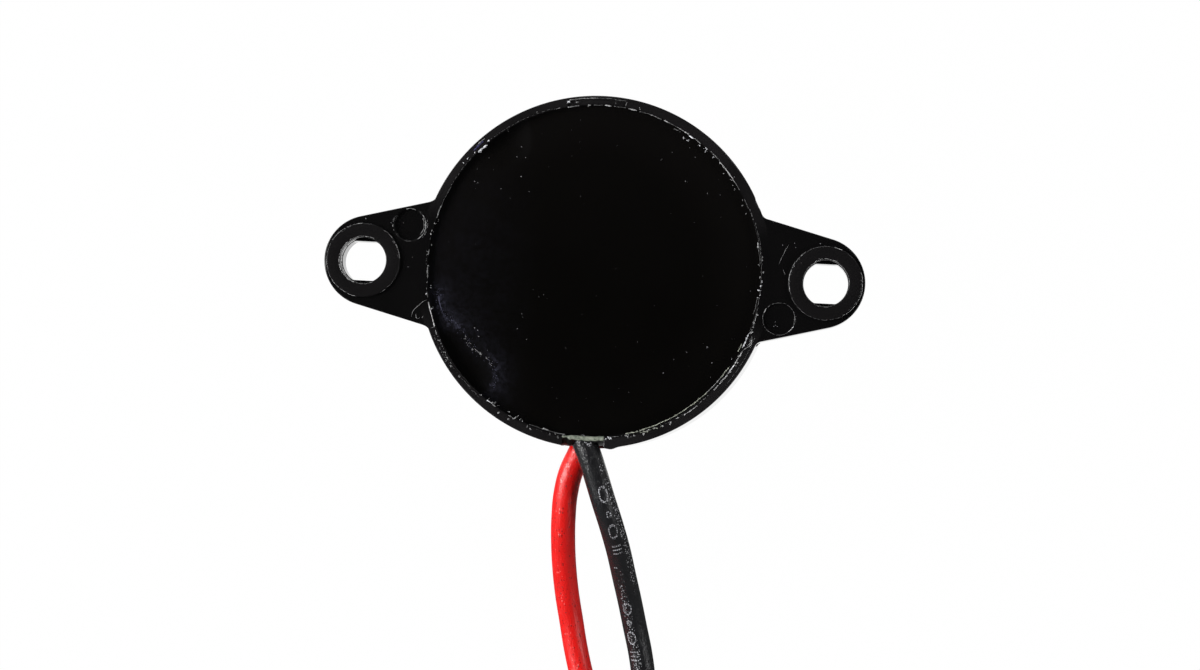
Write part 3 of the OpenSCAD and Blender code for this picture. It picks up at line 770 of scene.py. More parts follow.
# Where dust gathers on the resin and the ears: the patch's middle x and y, half its width and height, how
# many specks and their size
DUST_PATCHES = [(13.4, 2.2, 1.3, 0.4, 5, 0.03), (12.2, -2.7, 0.5, 0.4, 4, 0.03), (-14.5, 2.6, 1.2, 0.3, 3, 0.035),
    (-12.3, -0.9, 1.0, 0.9, 2, 0.035), (-6.8, 6.8, 2.2, 2.0, 9, 0.03), (6.9, 6.8, 2.2, 1.6, 6, 0.033),
    (3.9, 7.9, 1.2, 0.9, 3, 0.023), (6.7, -5.4, 2.5, 1.6, 6, 0.035), (-4.3, -3.0, 1.5, 1.9, 7, 0.026),
    (-8.2, -4.6, 1.0, 0.6, 3, 0.034)]
# The thin scatter of finer specks over the resin: how many, and how far out they reach
FINE_DUST = 50
FINE_DUST_R = 10.2


def dust():
    """Specks in their patches, each on the surface below it, and a thin scatter of finer ones over the
    resin."""
    draw = np.random.default_rng(61)
    fine_r = FINE_DUST_R * np.sqrt(draw.random(FINE_DUST))
    fine_a = draw.uniform(0, 2 * np.pi, FINE_DUST)
    size = 0.008 + 0.01 * draw.random(FINE_DUST)
    specks = [np.stack([fine_r * np.cos(fine_a), fine_r * np.sin(fine_a), size], -1)]
    for middle_x, middle_y, half_x, half_y, count, size in DUST_PATCHES:
        x = middle_x + half_x * draw.uniform(-1, 1, count)
        y = middle_y + half_y * draw.uniform(-1, 1, count)
        specks.append(np.stack([x, y, size * draw.uniform(0.8, 1.25, count)], -1))
    x, y, r = np.concatenate(specks).T
    return pebbles("dust_specks", np.stack([x, y, top_z(x, y), r], -1), 62)


# Where crumbs of flash lie in heaps along the mouth's edge: from and to in degrees, from and to in radius,
# how many heaps, the most crumbs in one, their size and tone
CRUMB_RUNS = [(0, 9, 10.65, 10.95, 5, 4, 0.05, PALE), (22, 42, 10.5, 10.8, 7, 4, 0.045, PALE),
    (46, 60, 10.4, 10.7, 6, 5, 0.045, WHITE), (75, 126, 10.75, 11.2, 6, 3, 0.045, MID),
    (131, 145, 10.6, 11.15, 5, 3, 0.05, WHITE), (163, 181, 10.6, 10.95, 8, 4, 0.05, PALE),
    (185, 196, 10.5, 10.95, 3, 5, 0.055, WHITE), (205, 221, 10.95, 11.15, 5, 8, 0.045, MID),
    (230, 252, 10.6, 11.1, 13, 5, 0.05, PALE), (257, 263, 10.75, 11.0, 4, 6, 0.05, MID),
    (276, 279, 10.75, 10.95, 3, 6, 0.055, WHITE), (282, 304, 10.8, 11.1, 10, 5, 0.05, PALE),
    (290, 297, 10.8, 10.95, 5, 8, 0.045, GREEN), (325, 349, 10.7, 11.1, 10, 7, 0.05, PALE),
    (353, 360, 10.65, 10.9, 6, 5, 0.05, WHITE)]
# Heaps of fine raised puckers along the pale band's edge, toned pale as painted glints
PUCKER_GLINT_HEAPS = 16


def heap(cx, cy, spread_by, count, size, colour, draw, seed):
    """One small heap of crumbs of one tone, scattered about its middle."""
    x = cx + 0.6 * spread_by * draw.normal(size=count)
    y = cy + 0.6 * spread_by * draw.normal(size=count)
    lumps = np.stack([x, y, top_z(x, y, 0.05), size * (0.4 + 0.5 * draw.random(count))], -1)
    return tint(pebbles("crumbs", lumps, seed), colour)


def crumbs():
    """Heaps of crumbs along the mouth's edge, at places drawn within each run, and the fine puckers in the resin
    along the pale band's edge, toned pale and bluish as painted glints."""
    draw = np.random.default_rng(81)
    heaps = []
    for start, end, inner, outer, count, most, size, colour in CRUMB_RUNS:
        for n in range(count):
            degrees = start + (end - start) * (n + draw.random()) / count
            x, y = polar(draw.uniform(inner, outer), degrees)
            crumb_count = int(draw.integers(2, most + 1))
            heaps.append(heap(x, y, 0.06, crumb_count, size, colour, draw, 100 + len(heaps)))
    edge = smooth_line([(x, y, 0.0) for x, y in FILM_AND_SHEEN_EDGE], 0.05)
    # Painted glints: pale and bluish lumps where the puckers catch the light
    for share in (np.arange(PUCKER_GLINT_HEAPS) + 0.5) / PUCKER_GLINT_HEAPS:
        x, y, _ = edge[int(share * (len(edge) - 1))]
        heaps.append(heap(x, y, 0.2, 9, 0.025, SHEEN_TONE, draw, 100 + len(heaps)))
        if 0.45 < share < 0.8:
            heaps.append(heap(x, y, 0.14, 8, 0.034, PALE, draw, 100 + len(heaps)))
    return join("crumbs", heaps)


def scratch(points, width, seed, colour):
    """A scratch's raised burr: a thin wavering ridge along a few points, tapering to nothing at its ends."""
    line = smooth_line([[x, y, RIM_Z] for x, y in points], 0.03)
    draw = np.random.default_rng(seed)
    line[:, 2] = top_z(*line[:, :2].T, 0.14)
    run = np.linspace(0, 1, len(line))
    half = width / 2 * np.sqrt(np.clip(np.sin(np.pi * run), 0.02, 1)) * (0.55 + 0.45 * draw.random(len(line)))
    ahead = headings(line[:, :2])
    side = np.stack([ahead[:, 1], -ahead[:, 0], np.zeros(len(line))], -1)
    line = line + side * (0.02 * ripple(line[:, 0], line[:, 1], seed, 0.5))[:, None]
    rings = np.stack([line - side * half[:, None] - [0, 0, 0.01], line + [0, 0, 0.016],
        line + side * half[:, None] - [0, 0, 0.01]], 1)
    return tint(closed_loft("ear_scratches", rings), colour)


# Worn and flashed edges along the rim, partly toned pale as painted highlights and glints on the edge: radius,
# start, end, width, share that shows, tone
RIM_FLASH_AND_GLINTS = [(10.9, 5, 20, 0.045, 0.8, GREY), (10.75, 5, 11, 0.035, 0.4, GREY), (10.75, 11, 13, 0.1, 0.95, PALE),
    (10.85, 20, 25, 0.065, 0.65, MID), (10.8, 25, 29, 0.04, 0.5, GREY), (10.8, 32, 36, 0.05, 0.6, MID),
    (10.8, 36, 42, 0.09, 0.92, PALE), (10.8, 42, 44, 0.11, 0.95, PALE), (10.85, 44, 49, 0.075, 0.85, MID),
    (10.8, 50, 51, 0.12, 1.0, WHITE), (10.8, 53, 56, 0.07, 0.85, MID), (10.75, 56, 58, 0.12, 1.0, WHITE),
    (10.8, 58, 60, 0.09, 0.95, PALE), (10.8, 60, 63, 0.07, 0.7, MID), (10.65, 61, 64, 0.065, 0.9, MID),
    (10.8, 63, 66, 0.05, 0.5, GREY), (10.8, 66, 68, 0.08, 0.95, PALE), (10.8, 69, 73, 0.075, 0.85, MID),
    (10.8, 73, 77, 0.05, 0.6, GREY), (10.8, 78, 81, 0.1, 0.95, PALE), (10.8, 82, 86, 0.05, 0.7, GREY),
    (10.8, 87, 89, 0.1, 0.9, PALE), (10.8, 90, 93, 0.05, 0.45, GREY), (10.8, 94, 95, 0.09, 1.0, PALE),
    (10.8, 98, 102, 0.08, 0.88, MID), (10.85, 104, 107, 0.06, 0.7, MID), (11.25, 92, 101, 0.08, 0.85, MID),
    (11.25, 82, 92, 0.05, 0.6, GREY), (11.05, 98, 99, 0.08, 1.0, MID), (11.15, 101, 102, 0.16, 1.0, WHITE),
    # At 133 to 137 degrees: a white strip painted as a glint, and beside it a blue one, a scuff toned as a painted
    # glint
    (10.9, 107, 131, 0.04, 0.6, GREY), (10.8, 133, 137, 0.17, 1.0, WHITE), (11.2, 132, 136, 0.06, 0.95, PALE),
    (11.1, 133, 138, 0.15, 1.0, SCUFF_GLINT_TONE), (10.85, 140, 152, 0.045, 0.6, GREY), (10.8, 152, 159, 0.04, 0.5, GREY),
    (10.8, 159, 164, 0.085, 0.85, MID), (10.85, 167, 172, 0.06, 0.5, GREY), (10.8, 175, 177, 0.07, 0.8, MID),
    (10.9, 177, 181, 0.05, 0.5, GREY), (10.8, 181, 185, 0.09, 0.92, MID), (10.85, 186, 187, 0.06, 0.9, MID),
    (10.9, 188, 192, 0.05, 0.7, GREY), (10.9, 193, 202, 0.1, 1.0, PALE), (10.9, 194, 199, 0.06, 1.0, WHITE),
    (10.95, 202, 205, 0.08, 0.8, MID), (10.95, 205, 212, 0.06, 0.55, MID), (11, 211, 216, 0.06, 0.6, MID),
    (11.15, 203, 216, 0.06, 0.4, GREY), (11, 217, 231, 0.045, 0.5, GREY), (10.95, 222, 230, 0.04, 0.5, GREY),
    (10.8, 233, 235, 0.1, 0.95, WHITE), (10.8, 235, 237, 0.07, 0.75, PALE), (10.8, 242, 244, 0.07, 0.75, PALE),
    (10.7, 250, 263, 0.045, 0.65, GREY), (10.65, 255, 257, 0.075, 1.0, PALE), (10.7, 259, 263, 0.065, 0.75, MID),
    (10.85, 250, 257, 0.035, 0.3, GREY), (10.75, 279, 284, 0.055, 0.65, MID), (10.7, 284, 296, 0.1, 0.92, GREEN),
    (10.85, 288, 295, 0.07, 0.6, GREEN), (10.7, 296, 316, 0.08, 0.95, GREEN), (10.95, 284, 288, 0.045, 0.6, MID),
    (10.9, 296, 305, 0.055, 0.5, MID), (10.95, 305, 311, 0.09, 0.94, PALE), (10.9, 311, 316, 0.065, 0.55, MID),
    (10.9, 318, 321, 0.11, 1.0, PALE), (10.9, 321, 335, 0.11, 0.95, PALE), (10.9, 325, 330, 0.07, 0.8, WHITE),
    (10.7, 316, 323, 0.07, 0.8, MID), (10.7, 323, 328, 0.075, 0.9, GREEN), (11.25, 322, 341, 0.045, 0.8, GREY),
    (10.8, 336, 341, 0.1, 0.97, WHITE), (10.65, 334, 337, 0.07, 0.8, GREEN), (10.9, 341, 345, 0.08, 0.88, MID),
    (10.9, 345, 349, 0.075, 0.85, MID), (10.85, 349, 356, 0.05, 0.6, GREY), (10.7, 348, 354, 0.045, 0.5, GREY)]
# The same round the bosses, pale where they stand for painted highlights on the rounded edges: side, then as above
BOSS_WEAR_AND_GLINTS = [(-1, 2.37, 93, 150, 0.06, 0.85, MID), (-1, 2.29, 108, 140, 0.045, 0.6, MID),
    (-1, 2.37, 5, 62, 0.045, 0.7, MID), (-1, 2.28, 0, 38, 0.04, 0.5, GREY),
    (-1, 2.37, 213, 262, 0.055, 0.8, MID), (-1, 2.37, 300, 335, 0.045, 0.5, GREY),
    (-1, 2.37, 150, 213, 0.04, 0.4, GREY), (1, 2.37, 125, 196, 0.065, 0.85, MID),
    (1, 2.3, 135, 170, 0.045, 0.6, MID),
    (1, 2.37, 66, 80, 0.07, 0.95, PALE), (1, 2.37, -62, 24, 0.055, 0.8, MID), (1, 2.29, -50, 10, 0.045, 0.6, MID),
    (1, 2.37, 196, 298, 0.045, 0.6, GREY), (1, 2.37, 80, 125, 0.045, 0.55, GREY)]
# Round the prints of the ejector pins, where the pale crescents are painted highlights on their rounded rims
PIN_WEAR_AND_GLINTS = [(-1, 1.06, -60, 40, 0.08, 0.85, MID), (-1, 0.94, -40, 30, 0.05, 0.7, MID),
    (-1, 1.17, -50, 20, 0.045, 0.6, MID), (-1, 1.05, 70, 105, 0.06, 0.8, MID),
    (-1, 1.1, 150, 205, 0.06, 0.5, MID), (1, 1.05, 138, 162, 0.06, 0.95, PALE),
    (1, 1.05, -52, -20, 0.07, 0.95, PALE), (1, 1.05, 162, 310, 0.04, 0.6, GREY),
    (1, 1.05, -20, 138, 0.04, 0.6, GREY)]
# Round the holes' mouths, and on the wall a little below them, where the pale strips are painted highlights and
# reflections in the bore: side, height over the rim, then as above
HOLE_WEAR_AND_GLINTS = [(-1, 0.2, 1.56, 62, 130, 0.045, 0.85, PALE), (-1, 0.2, 1.55, 130, 255, 0.06, 0.9, PALE),
    (-1, -0.1, 1.5, 120, 250, 0.06, 0.9, PALE), (-1, -0.6, 1.5, 140, 235, 0.09, 0.85, MID),
    (-1, 0.2, 1.55, 255, 300, 0.04, 0.8, MID), (1, 0.2, 1.56, 60, 122, 0.05, 0.88, PALE),
    (1, 0.2, 1.55, 240, 290, 0.045, 0.6, MID), (1, -0.1, 1.5, 150, 215, 0.05, 0.8, GREY)]


def flash_and_glint_strips():
    """All the worn and flashed edges, with their painted edge highlights and glints, as one piece."""
    made = [flash_and_glint_strip(200 + n, (0, 0), None, *row) for n, row in enumerate(RIM_FLASH_AND_GLINTS)]
    ear = np.array([HOLE_X, 0])
    for n, (side, *row) in enumerate(BOSS_WEAR_AND_GLINTS):
        made.append(flash_and_glint_strip(300 + n, side * ear, BOSS_Z - 0.012, *row))
    for n, (side, *row) in enumerate(PIN_WEAR_AND_GLINTS):
        made.append(flash_and_glint_strip(320 + n, side * PIN_MARK["at"], RIM_Z, *row))
    for n, (side, over, *row) in enumerate(HOLE_WEAR_AND_GLINTS):
        made.append(flash_and_glint_strip(340 + n, side * ear, RIM_Z + over, *row))
    return join("edge_wear_and_glints", made)


# Scratches on the ears, the rim and the resin, two of them pale streaks painted as glints along the pale band's
# edge: the points that each runs through, its width and tone
SCRATCHES = [
    ([(12.5, 2.4), (12.2, 1.8), (12, 1.3), (11.9, 1)], 0.05, MID),
    ([(12.2, 0.8), (12.4, 0.4)], 0.05, MID),
    ([(-11.7, -3.5), (-11.6, -3.2), (-11.2, -2.7), (-10.7, -2.3)], 0.07, MID),
    ([(-11.4, -3.3), (-11.3, -3.6), (-11.1, -3.5)], 0.07, MID),
    ([(-10.9, -3.4), (-11, -3.6)], 0.07, MID),
    ([(1.6, 11.1), (1.5, 10.8)], 0.07, MID),
    ([(-4.7, -9.8), (-4.4, -9.5)], 0.08, PALE),
    ([polar(10.9, 202), polar(11.2, 202)], 0.08, MID),
    ([polar(11, 214), polar(11.3, 214)], 0.07, MID),
    ([polar(10.9, 335), polar(11.1, 337), polar(11.2, 338), polar(11, 341)], 0.08, PALE),
    ([polar(11, 337), polar(11.1, 338), polar(11, 340)], 0.07, PALE),
    # These two are painted glints along the pale band's edge
    ([(-10, -2), (-9.9, -2.6), (-9.7, -3.1)], 0.09, SHEEN_TONE),
    ([(-7.5, -5.4), (-7, -5.7)], 0.06, PALE),
]


def scratches():
    """All the scratches, as one piece."""
    rows = enumerate(SCRATCHES)
    return join("ear_scratches", [scratch(points, width, 71 + n, colour) for n, (points, width, colour) in rows])


resin = resin_fill()
sealant = sealant_fill()
edge_wear_and_glints = flash_and_glint_strips()
rim_crumbs = crumbs()
dust_specks = dust()
ear_scratches = scratches()

# ---- Nodes ----


def feed(tree, socket, value):
    """Joins a socket to another node's output, or sets its value."""
    if isinstance(value, bpy.types.NodeSocket):
        tree.links.new(value, socket)
    else:
        socket.default_value = value


def node(tree, kind, inputs=(), **settings):
    """A new shader node with its settings and inputs; an input may be another node's output."""
    new = tree.nodes.new("ShaderNode" + kind)
    for name, value in settings.items():
        setattr(new, name, value)
    for name, value in dict(inputs).items():
        feed(tree, new.inputs[name], value)
    return new


def calc(tree, operation, *values):
    """The result of a Math node on one, two or three values."""
    return node(tree, "Math", enumerate(values), operation=operation).outputs[0]


def times(tree, a, b):
    """The product of two values."""
    return calc(tree, "MULTIPLY", a, b)


def times_plus(tree, a, b, c):
    """The product of the first two values, plus the third."""
    return calc(tree, "MULTIPLY_ADD", a, b, c)


def hypotenuse(tree, a, b):
    """The square root of the sum of two squares."""
    return calc(tree, "SQRT", calc(tree, "ADD", calc(tree, "POWER", a, 2.0), calc(tree, "POWER", b, 2.0)))


def apart(tree, a, b):
    """How far two values are apart."""
    return calc(tree, "ABSOLUTE", calc(tree, "SUBTRACT", a, b))


def spread(tree, value, low, high, to_low=0.0, to_high=1.0):
    """A value moved smoothly from one range to another, and held at its ends."""
    return node(tree, "MapRange", {"Value": value, "From Min": low, "From Max": high, "To Min": to_low,
        "To Max": to_high}, interpolation_type="SMOOTHSTEP").outputs[0]


def blend(tree, share, first, second):
    """A colour between two, by a share from 0 to 1."""
    new = node(tree, "Mix", {"Factor": share}, data_type="RGBA")
    for socket, value in ((new.inputs[6], first), (new.inputs[7], second)):
        feed(tree, socket, value if isinstance(value, bpy.types.NodeSocket) else (*value, 1))
    return new.outputs[2]


def laid_on(tree, tone, mask, share, over):
    """A tone with a share of another over it where a mask is 1."""
    return blend(tree, times(tree, mask, share), tone, over)


def noise(tree, place, size, detail=2.0, roughness=0.5):
    """Soft noise from 0 to 1 whose lumps are about size millimetres."""
    return node(tree, "TexNoise", {"Vector": place, "Scale": 1 / size, "Detail": detail,
        "Roughness": roughness}).outputs["Fac"]


def make_group(name, inputs, outputs, build):
    """A node group: inputs and outputs give each socket's kind, and build returns its outputs."""
    tree = bpy.data.node_groups.new(name, "ShaderNodeTree")
    for socket, kind in inputs.items():
        tree.interface.new_socket(socket, in_out="INPUT", socket_type="NodeSocket" + kind)
    for socket, kind in outputs.items():
        tree.interface.new_socket(socket, in_out="OUTPUT", socket_type="NodeSocket" + kind)
    source, sink = tree.nodes.new("NodeGroupInput"), tree.nodes.new("NodeGroupOutput")
    results = build(tree, {socket: source.outputs[socket] for socket in inputs})
    for socket, result in results.items():
        tree.links.new(result, sink.inputs[socket])
    return tree


def split(tree, place):
    """The three parts of a place."""
    return node(tree, "SeparateXYZ", {0: place}).outputs


def specks_group(tree, given):
    """Round specks: in each cell of a Voronoi pattern, one of its own size, and only in a share of cells."""
    cells = node(tree, "TexVoronoi", {"Vector": given["Place"],
        "Scale": calc(tree, "DIVIDE", 1.0, given["Cell"])})
    draw = node(tree, "SeparateColor", {"Color": cells.outputs["Color"]})
    chosen = calc(tree, "LESS_THAN", draw.outputs[0], given["Share"])
    own = times(tree, given["Radius"], times_plus(tree, draw.outputs[1], 0.8, 0.4))
    away = times(tree, cells.outputs["Distance"], given["Cell"])
    inside = calc(tree, "SUBTRACT", 1.0, calc(tree, "DIVIDE", away, own))
    return {"Mask": times(tree, chosen, spread(tree, inside, 0.0, 0.5))}


def scuffs_group(tree, given):
    """Fine straight scuffs: noise drawn out along one heading, of which only the crests are kept."""
    turned_place = node(tree, "VectorRotate", {"Vector": given["Place"], "Angle": given["Heading"]},
        rotation_type="Z_AXIS").outputs[0]
    drawn = node(tree, "VectorMath", {0: turned_place, 1: (0.35, 9.0, 1.0)}, operation="MULTIPLY").outputs[0]
    streak = noise(tree, drawn, 0.9, 3.0, 0.6)
    patch = noise(tree, given["Place"], 2.6, 1.0)
    kept = times(tree, streak, spread(tree, patch, 0.42, 0.7))
    return {"Mask": spread(tree, kept, calc(tree, "SUBTRACT", 0.62, given["Share"]), 0.72)}


def grain_group(tree, given):
    """Moulded or drawn grain: fine noise over coarse, as a height from 0 to 1 and a slow drift of tone."""
    fine = noise(tree, given["Place"], 0.09, 2.0, 0.6)
    scaled = node(tree, "VectorMath", {0: given["Place"], 3: calc(tree, "DIVIDE", 1.0, given["Size"])},
        operation="SCALE").outputs[0]
    coarse = noise(tree, scaled, 1.0, 2.0, 0.5)
    height = times_plus(tree, coarse, 0.8, times(tree, fine, 0.2))
    return {"Height": height, "Drift": noise(tree, given["Place"], 3.5, 2.0)}


VECTOR, NUMBER = "Vector", "Float"
SPECKS = make_group("specks", {"Place": VECTOR, "Cell": NUMBER, "Radius": NUMBER, "Share": NUMBER},
    {"Mask": NUMBER}, specks_group)
SCUFFS = make_group("scuffs", {"Place": VECTOR, "Heading": NUMBER, "Share": NUMBER}, {"Mask": NUMBER},
    scuffs_group)
GRAIN = make_group("grain", {"Place": VECTOR, "Size": NUMBER}, {"Height": NUMBER, "Drift": NUMBER},
    grain_group)


def specked(tree, place, cell, radius, share):
    """The mask of round specks of about a radius, in a share of cells of a given size."""
    inputs = {"Place": place, "Cell": cell, "Radius": radius, "Share": share}
    return node(tree, "Group", inputs, node_tree=SPECKS).outputs["Mask"]


def scuffed(tree, place, heading, share):
    """The mask of fine scuffs along a heading, in radians."""
    inputs = {"Place": place, "Heading": heading, "Share": share}
    return node(tree, "Group", inputs, node_tree=SCUFFS).outputs["Mask"]


def grained(tree, place, size):
    """The grain's Height and Drift, its lumps of a given size."""
    return node(tree, "Group", {"Place": place, "Size": size}, node_tree=GRAIN).outputs


def finish_of(name):
    """A new material: returns it, its tree, its shader and the place on the object in millimetres."""
    material = bpy.data.materials.new(name)
    material.use_nodes = True
    tree = material.node_tree
    place = node(tree, "VectorMath", {0: node(tree, "TexCoord").outputs["Object"], 3: 1 / MM},
        operation="SCALE").outputs[0]
    return material, tree, tree.nodes["Principled BSDF"], place


def wire(tree, shader, **values):
    """Sets or joins the shader's sockets, named with _ for a space."""
    for name, value in values.items():
        feed(tree, shader.inputs[name.replace("_", " ")], value)


def bumped(tree, height, depth):
    """A bump normal for a height from 0 to 1 that stands for depth millimetres."""
    return node(tree, "Bump", {"Height": height, "Distance": depth * MM, "Strength": 1.0}).outputs[0]


def moulded_case():
    """Black moulded plastic: satin, finely grained, scuffed, with pale specks of dust."""
    material, tree, shader, place = finish_of("moulded_case")
    grain = grained(tree, place, 0.45)
    marks = scuffed(tree, place, 0.9, 0.02)
    specks = specked(tree, place, 0.7, 0.05, 0.16)
    tone = blend(tree, grain["Drift"], (0.0024, 0.0023, 0.0024), (0.0042, 0.004, 0.0041))
    spot = split(tree, place)
    away = hypotenuse(tree, spot[0], spot[1])
    rim = times(tree, spread(tree, away, 11.55, 11.45), spread(tree, away, 10.7, 10.95))
    rim = times(tree, rim, spread(tree, calc(tree, "ABSOLUTE", spot[1]), 2.5, 4.5))
    tone = laid_on(tree, tone, rim, grain["Drift"], (0.0155, 0.0145, 0.015))
    tone = laid_on(tree, tone, marks, 0.12, (0.03, 0.03, 0.031))
    tone = laid_on(tree, tone, specks, 0.6, (0.09, 0.085, 0.08))
    rough = times_plus(tree, grain["Drift"], 0.08, 0.12)
    raised = spread(tree, spot[2], RIM_Z + 0.1, BOSS_Z - 0.02)
    tone = laid_on(tree, tone, raised, 0.4, (0.013, 0.012, 0.0125))
    rough = times_plus(tree, raised, 0.03, rough)
    wall = spread(tree, spot[2], RIM_Z - 0.05, RIM_Z - 0.3)
    rough = times(tree, rough, times_plus(tree, wall, -0.75, 1.0))
    height = times_plus(tree, specks, 0.5, grain["Height"])
    height = times(tree, height, times_plus(tree, wall, -0.9, 1.0))
    wire(tree, shader, Base_Color=tone, Roughness=rough, Normal=bumped(tree, height, 0.0016))
    return material


def potting_resin():
    """Black potting resin: a deep gloss with faint smears and the finest dust, paler towards the wall and towards
    +Y as painted sheen, and a bluish haze that is part cured film and part painted sheen.
    """
    material, tree, shader, place = finish_of("potting_resin")
    grain = grained(tree, place, 1.6)
    specks = specked(tree, place, 0.8, 0.03, 0.2)
    scuffs = scuffed(tree, place, 1.3, 0.02)
    tone = blend(tree, grain["Drift"], (0.0014, 0.0012, 0.001), (0.0021, 0.0019, 0.0016))
    spot = split(tree, place)
    away = hypotenuse(tree, spot[0], spot[1])
    # Painted sheen: paler towards the wall, more on the upper side, and paler towards +Y
    outer = times(tree, spread(tree, away, 6.5, 10.3), spread(tree, spot[1], -9.0, 0.0, 0.15, 0.45))
    painted_sheen = calc(tree, "ADD", outer, spread(tree, spot[1], -3.0, 6.0, 0.0, 0.25))
    tone = blend(tree, painted_sheen, tone, (0.0041, 0.0037, 0.0035))
    fine = spread(tree, noise(tree, place, 0.25, 3.0, 0.7), 0.35, 0.65, 0.3, 1.8)
    # The bluish haze: part cured film, part painted sheen
    film_and_sheen_share = times(tree, node(tree, "Attribute", attribute_name="haze_and_sheen").outputs["Fac"], fine)
    tone = blend(tree, film_and_sheen_share, tone, (0.024, 0.024, 0.034))
    tone = laid_on(tree, tone, specks, 0.5, (0.03, 0.03, 0.031))
    rough = times_plus(tree, grain["Drift"], 0.06, 0.06)
    rough = times_plus(tree, scuffs, 0.1, rough)
    wire(tree, shader, Base_Color=tone, Roughness=rough, Normal=bumped(tree, grain["Height"], 0.0004))
    return material


def lead_place(tree):
    """Where a point lies on its lead, in millimetres, with the lead laid out straight along Z: returns the
    place and the distances round and along it."""
    uv = split(tree, node(tree, "TexCoord").outputs["UV"])
    turn = times(tree, uv[0], 2 * math.pi)
    x = times(tree, calc(tree, "COSINE", turn), LEAD_R)
    y = times(tree, calc(tree, "SINE", turn), LEAD_R)
    straight = node(tree, "CombineXYZ", {0: x, 1: y, 2: times(tree, uv[1], 0.8)}).outputs[0]
    return straight, times(tree, uv[0], 2 * math.pi * LEAD_R), uv[1]


def painted_highlight_specks(tree, straight, around, along, highlight_bands):
    """Fine pale specks painted where the highlights fall along a lead; each band gives its place round the lead
    in turns, its start and end along it in millimetres, and how dense it is."""
    dense = 0.0
    for turns, start, end, share in highlight_bands:
        away = apart(tree, around, turns * 2 * math.pi * LEAD_R)
        near = spread(tree, away, 0.38, 0.08)
        ends = times(tree, spread(tree, along, start - 1.5, start + 1.5),
            spread(tree, along, end + 1.5, end - 1.5))
        part = times(tree, times(tree, near, ends), share)
        dense = calc(tree, "MAXIMUM", dense, part)
    return specked(tree, straight, 0.11, 0.05, dense)


def insulation_finish(name, dark, light, rough, pit_share, depth, shine=0.5, printed=False, highlight_bands=(),
        highlight_tone=(0.3, 0.3, 0.3)):
    """Extruded soft plastic: grains and pits drawn out along the lead, the pits darkened as painted shade, pale
    specks painted as highlights along bands round it, dust, and on one lead a row of pale printed marks."""
    material, tree, shader, place = finish_of(name)
    straight, around, along = lead_place(tree)
    grain = grained(tree, straight, 0.12)
    pits = specked(tree, straight, 0.17, 0.07, pit_share)
    highlight_specks = painted_highlight_specks(tree, straight, around, along, highlight_bands)
    dust_mask = specked(tree, place, 0.9, 0.035, 0.12)
    tone = blend(tree, grain["Drift"], dark, light)
    # Painted shade: the pits darkened as if in shadow
    tone = laid_on(tree, tone, pits, 0.7, [0.25 * c for c in dark])
    # Painted highlight: pale specks, pink on the red lead, along the bands where the lamps' highlights fall
    tone = laid_on(tree, tone, highlight_specks, 0.9, highlight_tone)
    tone = laid_on(tree, tone, dust_mask, 0.35, (0.5, 0.42, 0.4))
    if printed:
        tone = blend(tree, printed_marks(tree, around, along), tone, (0.5, 0.5, 0.53))
    height = times_plus(tree, pits, -0.3, grain["Height"])
    roughness = times_plus(tree, grain["Drift"], 0.12, rough)
    wire(tree, shader, Base_Color=tone, Roughness=roughness, Normal=bumped(tree, height, depth),
        Specular_IOR_Level=shine)
    return material


# The printed marks' length and where one set of them begins, along the lead
MARK_PERIOD = 9.4
MARK_START = 7.05


def printed_marks(tree, around, along):
    """Generic marks in pale dots along the lead: an oval, a small ring, an oval and three bars, again and
    again, and the end of one that the sealant hides. They drift round the lead a little as they go."""
    middle = times_plus(tree, along, -0.0085, 0.345)
    across = calc(tree, "SUBTRACT", around, times(tree, middle, 2 * math.pi * LEAD_R))
    run = calc(tree, "SUBTRACT", along, MARK_START - 5 * MARK_PERIOD)
    cycle = calc(tree, "MODULO", run, MARK_PERIOD)

    def ring(place, at, half_long, half_wide, line):
        p = calc(tree, "DIVIDE", calc(tree, "SUBTRACT", place, at), half_long)
        q = calc(tree, "DIVIDE", across, half_wide)
        return calc(tree, "LESS_THAN", apart(tree, hypotenuse(tree, p, q), 1.0), line)

    def bar(at):
        near = calc(tree, "LESS_THAN", apart(tree, cycle, at), 0.055)
        return times(tree, near, calc(tree, "LESS_THAN", calc(tree, "ABSOLUTE", across), 0.3))

    marks = ring(cycle, 0.52, 0.48, 0.27, 0.17)
    for more in (ring(cycle, 1.8, 0.17, 0.14, 0.35), ring(cycle, 3.08, 0.48, 0.27, 0.17), bar(4.25), bar(4.58),
            bar(4.91), ring(along, 4.1, 0.4, 0.2, 0.25)):
        marks = calc(tree, "MAXIMUM", marks, more)
    dots = node(tree, "TexVoronoi", {"Vector": node(tree, "CombineXYZ", {0: across, 1: along}).outputs[0],
        "Scale": 7.5, "Randomness": 0.3}).outputs["Distance"]
    return times(tree, marks, spread(tree, dots, 0.5, 0.3))


def pale_paste(name, dark, light, rough):
    """Sealant, glue and ceramic: chalky, mottled, with small darker specks."""
    material, tree, shader, place = finish_of(name)
    grain = grained(tree, place, 0.3)
    specks = specked(tree, place, 0.3, 0.06, 0.3)
    tone = blend(tree, spread(tree, grain["Height"], 0.35, 0.65), dark, light)
    tone = laid_on(tree, tone, specks, 0.5, [0.5 * c for c in dark])
    wire(tree, shader, Base_Color=tone, Roughness=rough, Normal=bumped(tree, grain["Height"], 0.02))
    return material


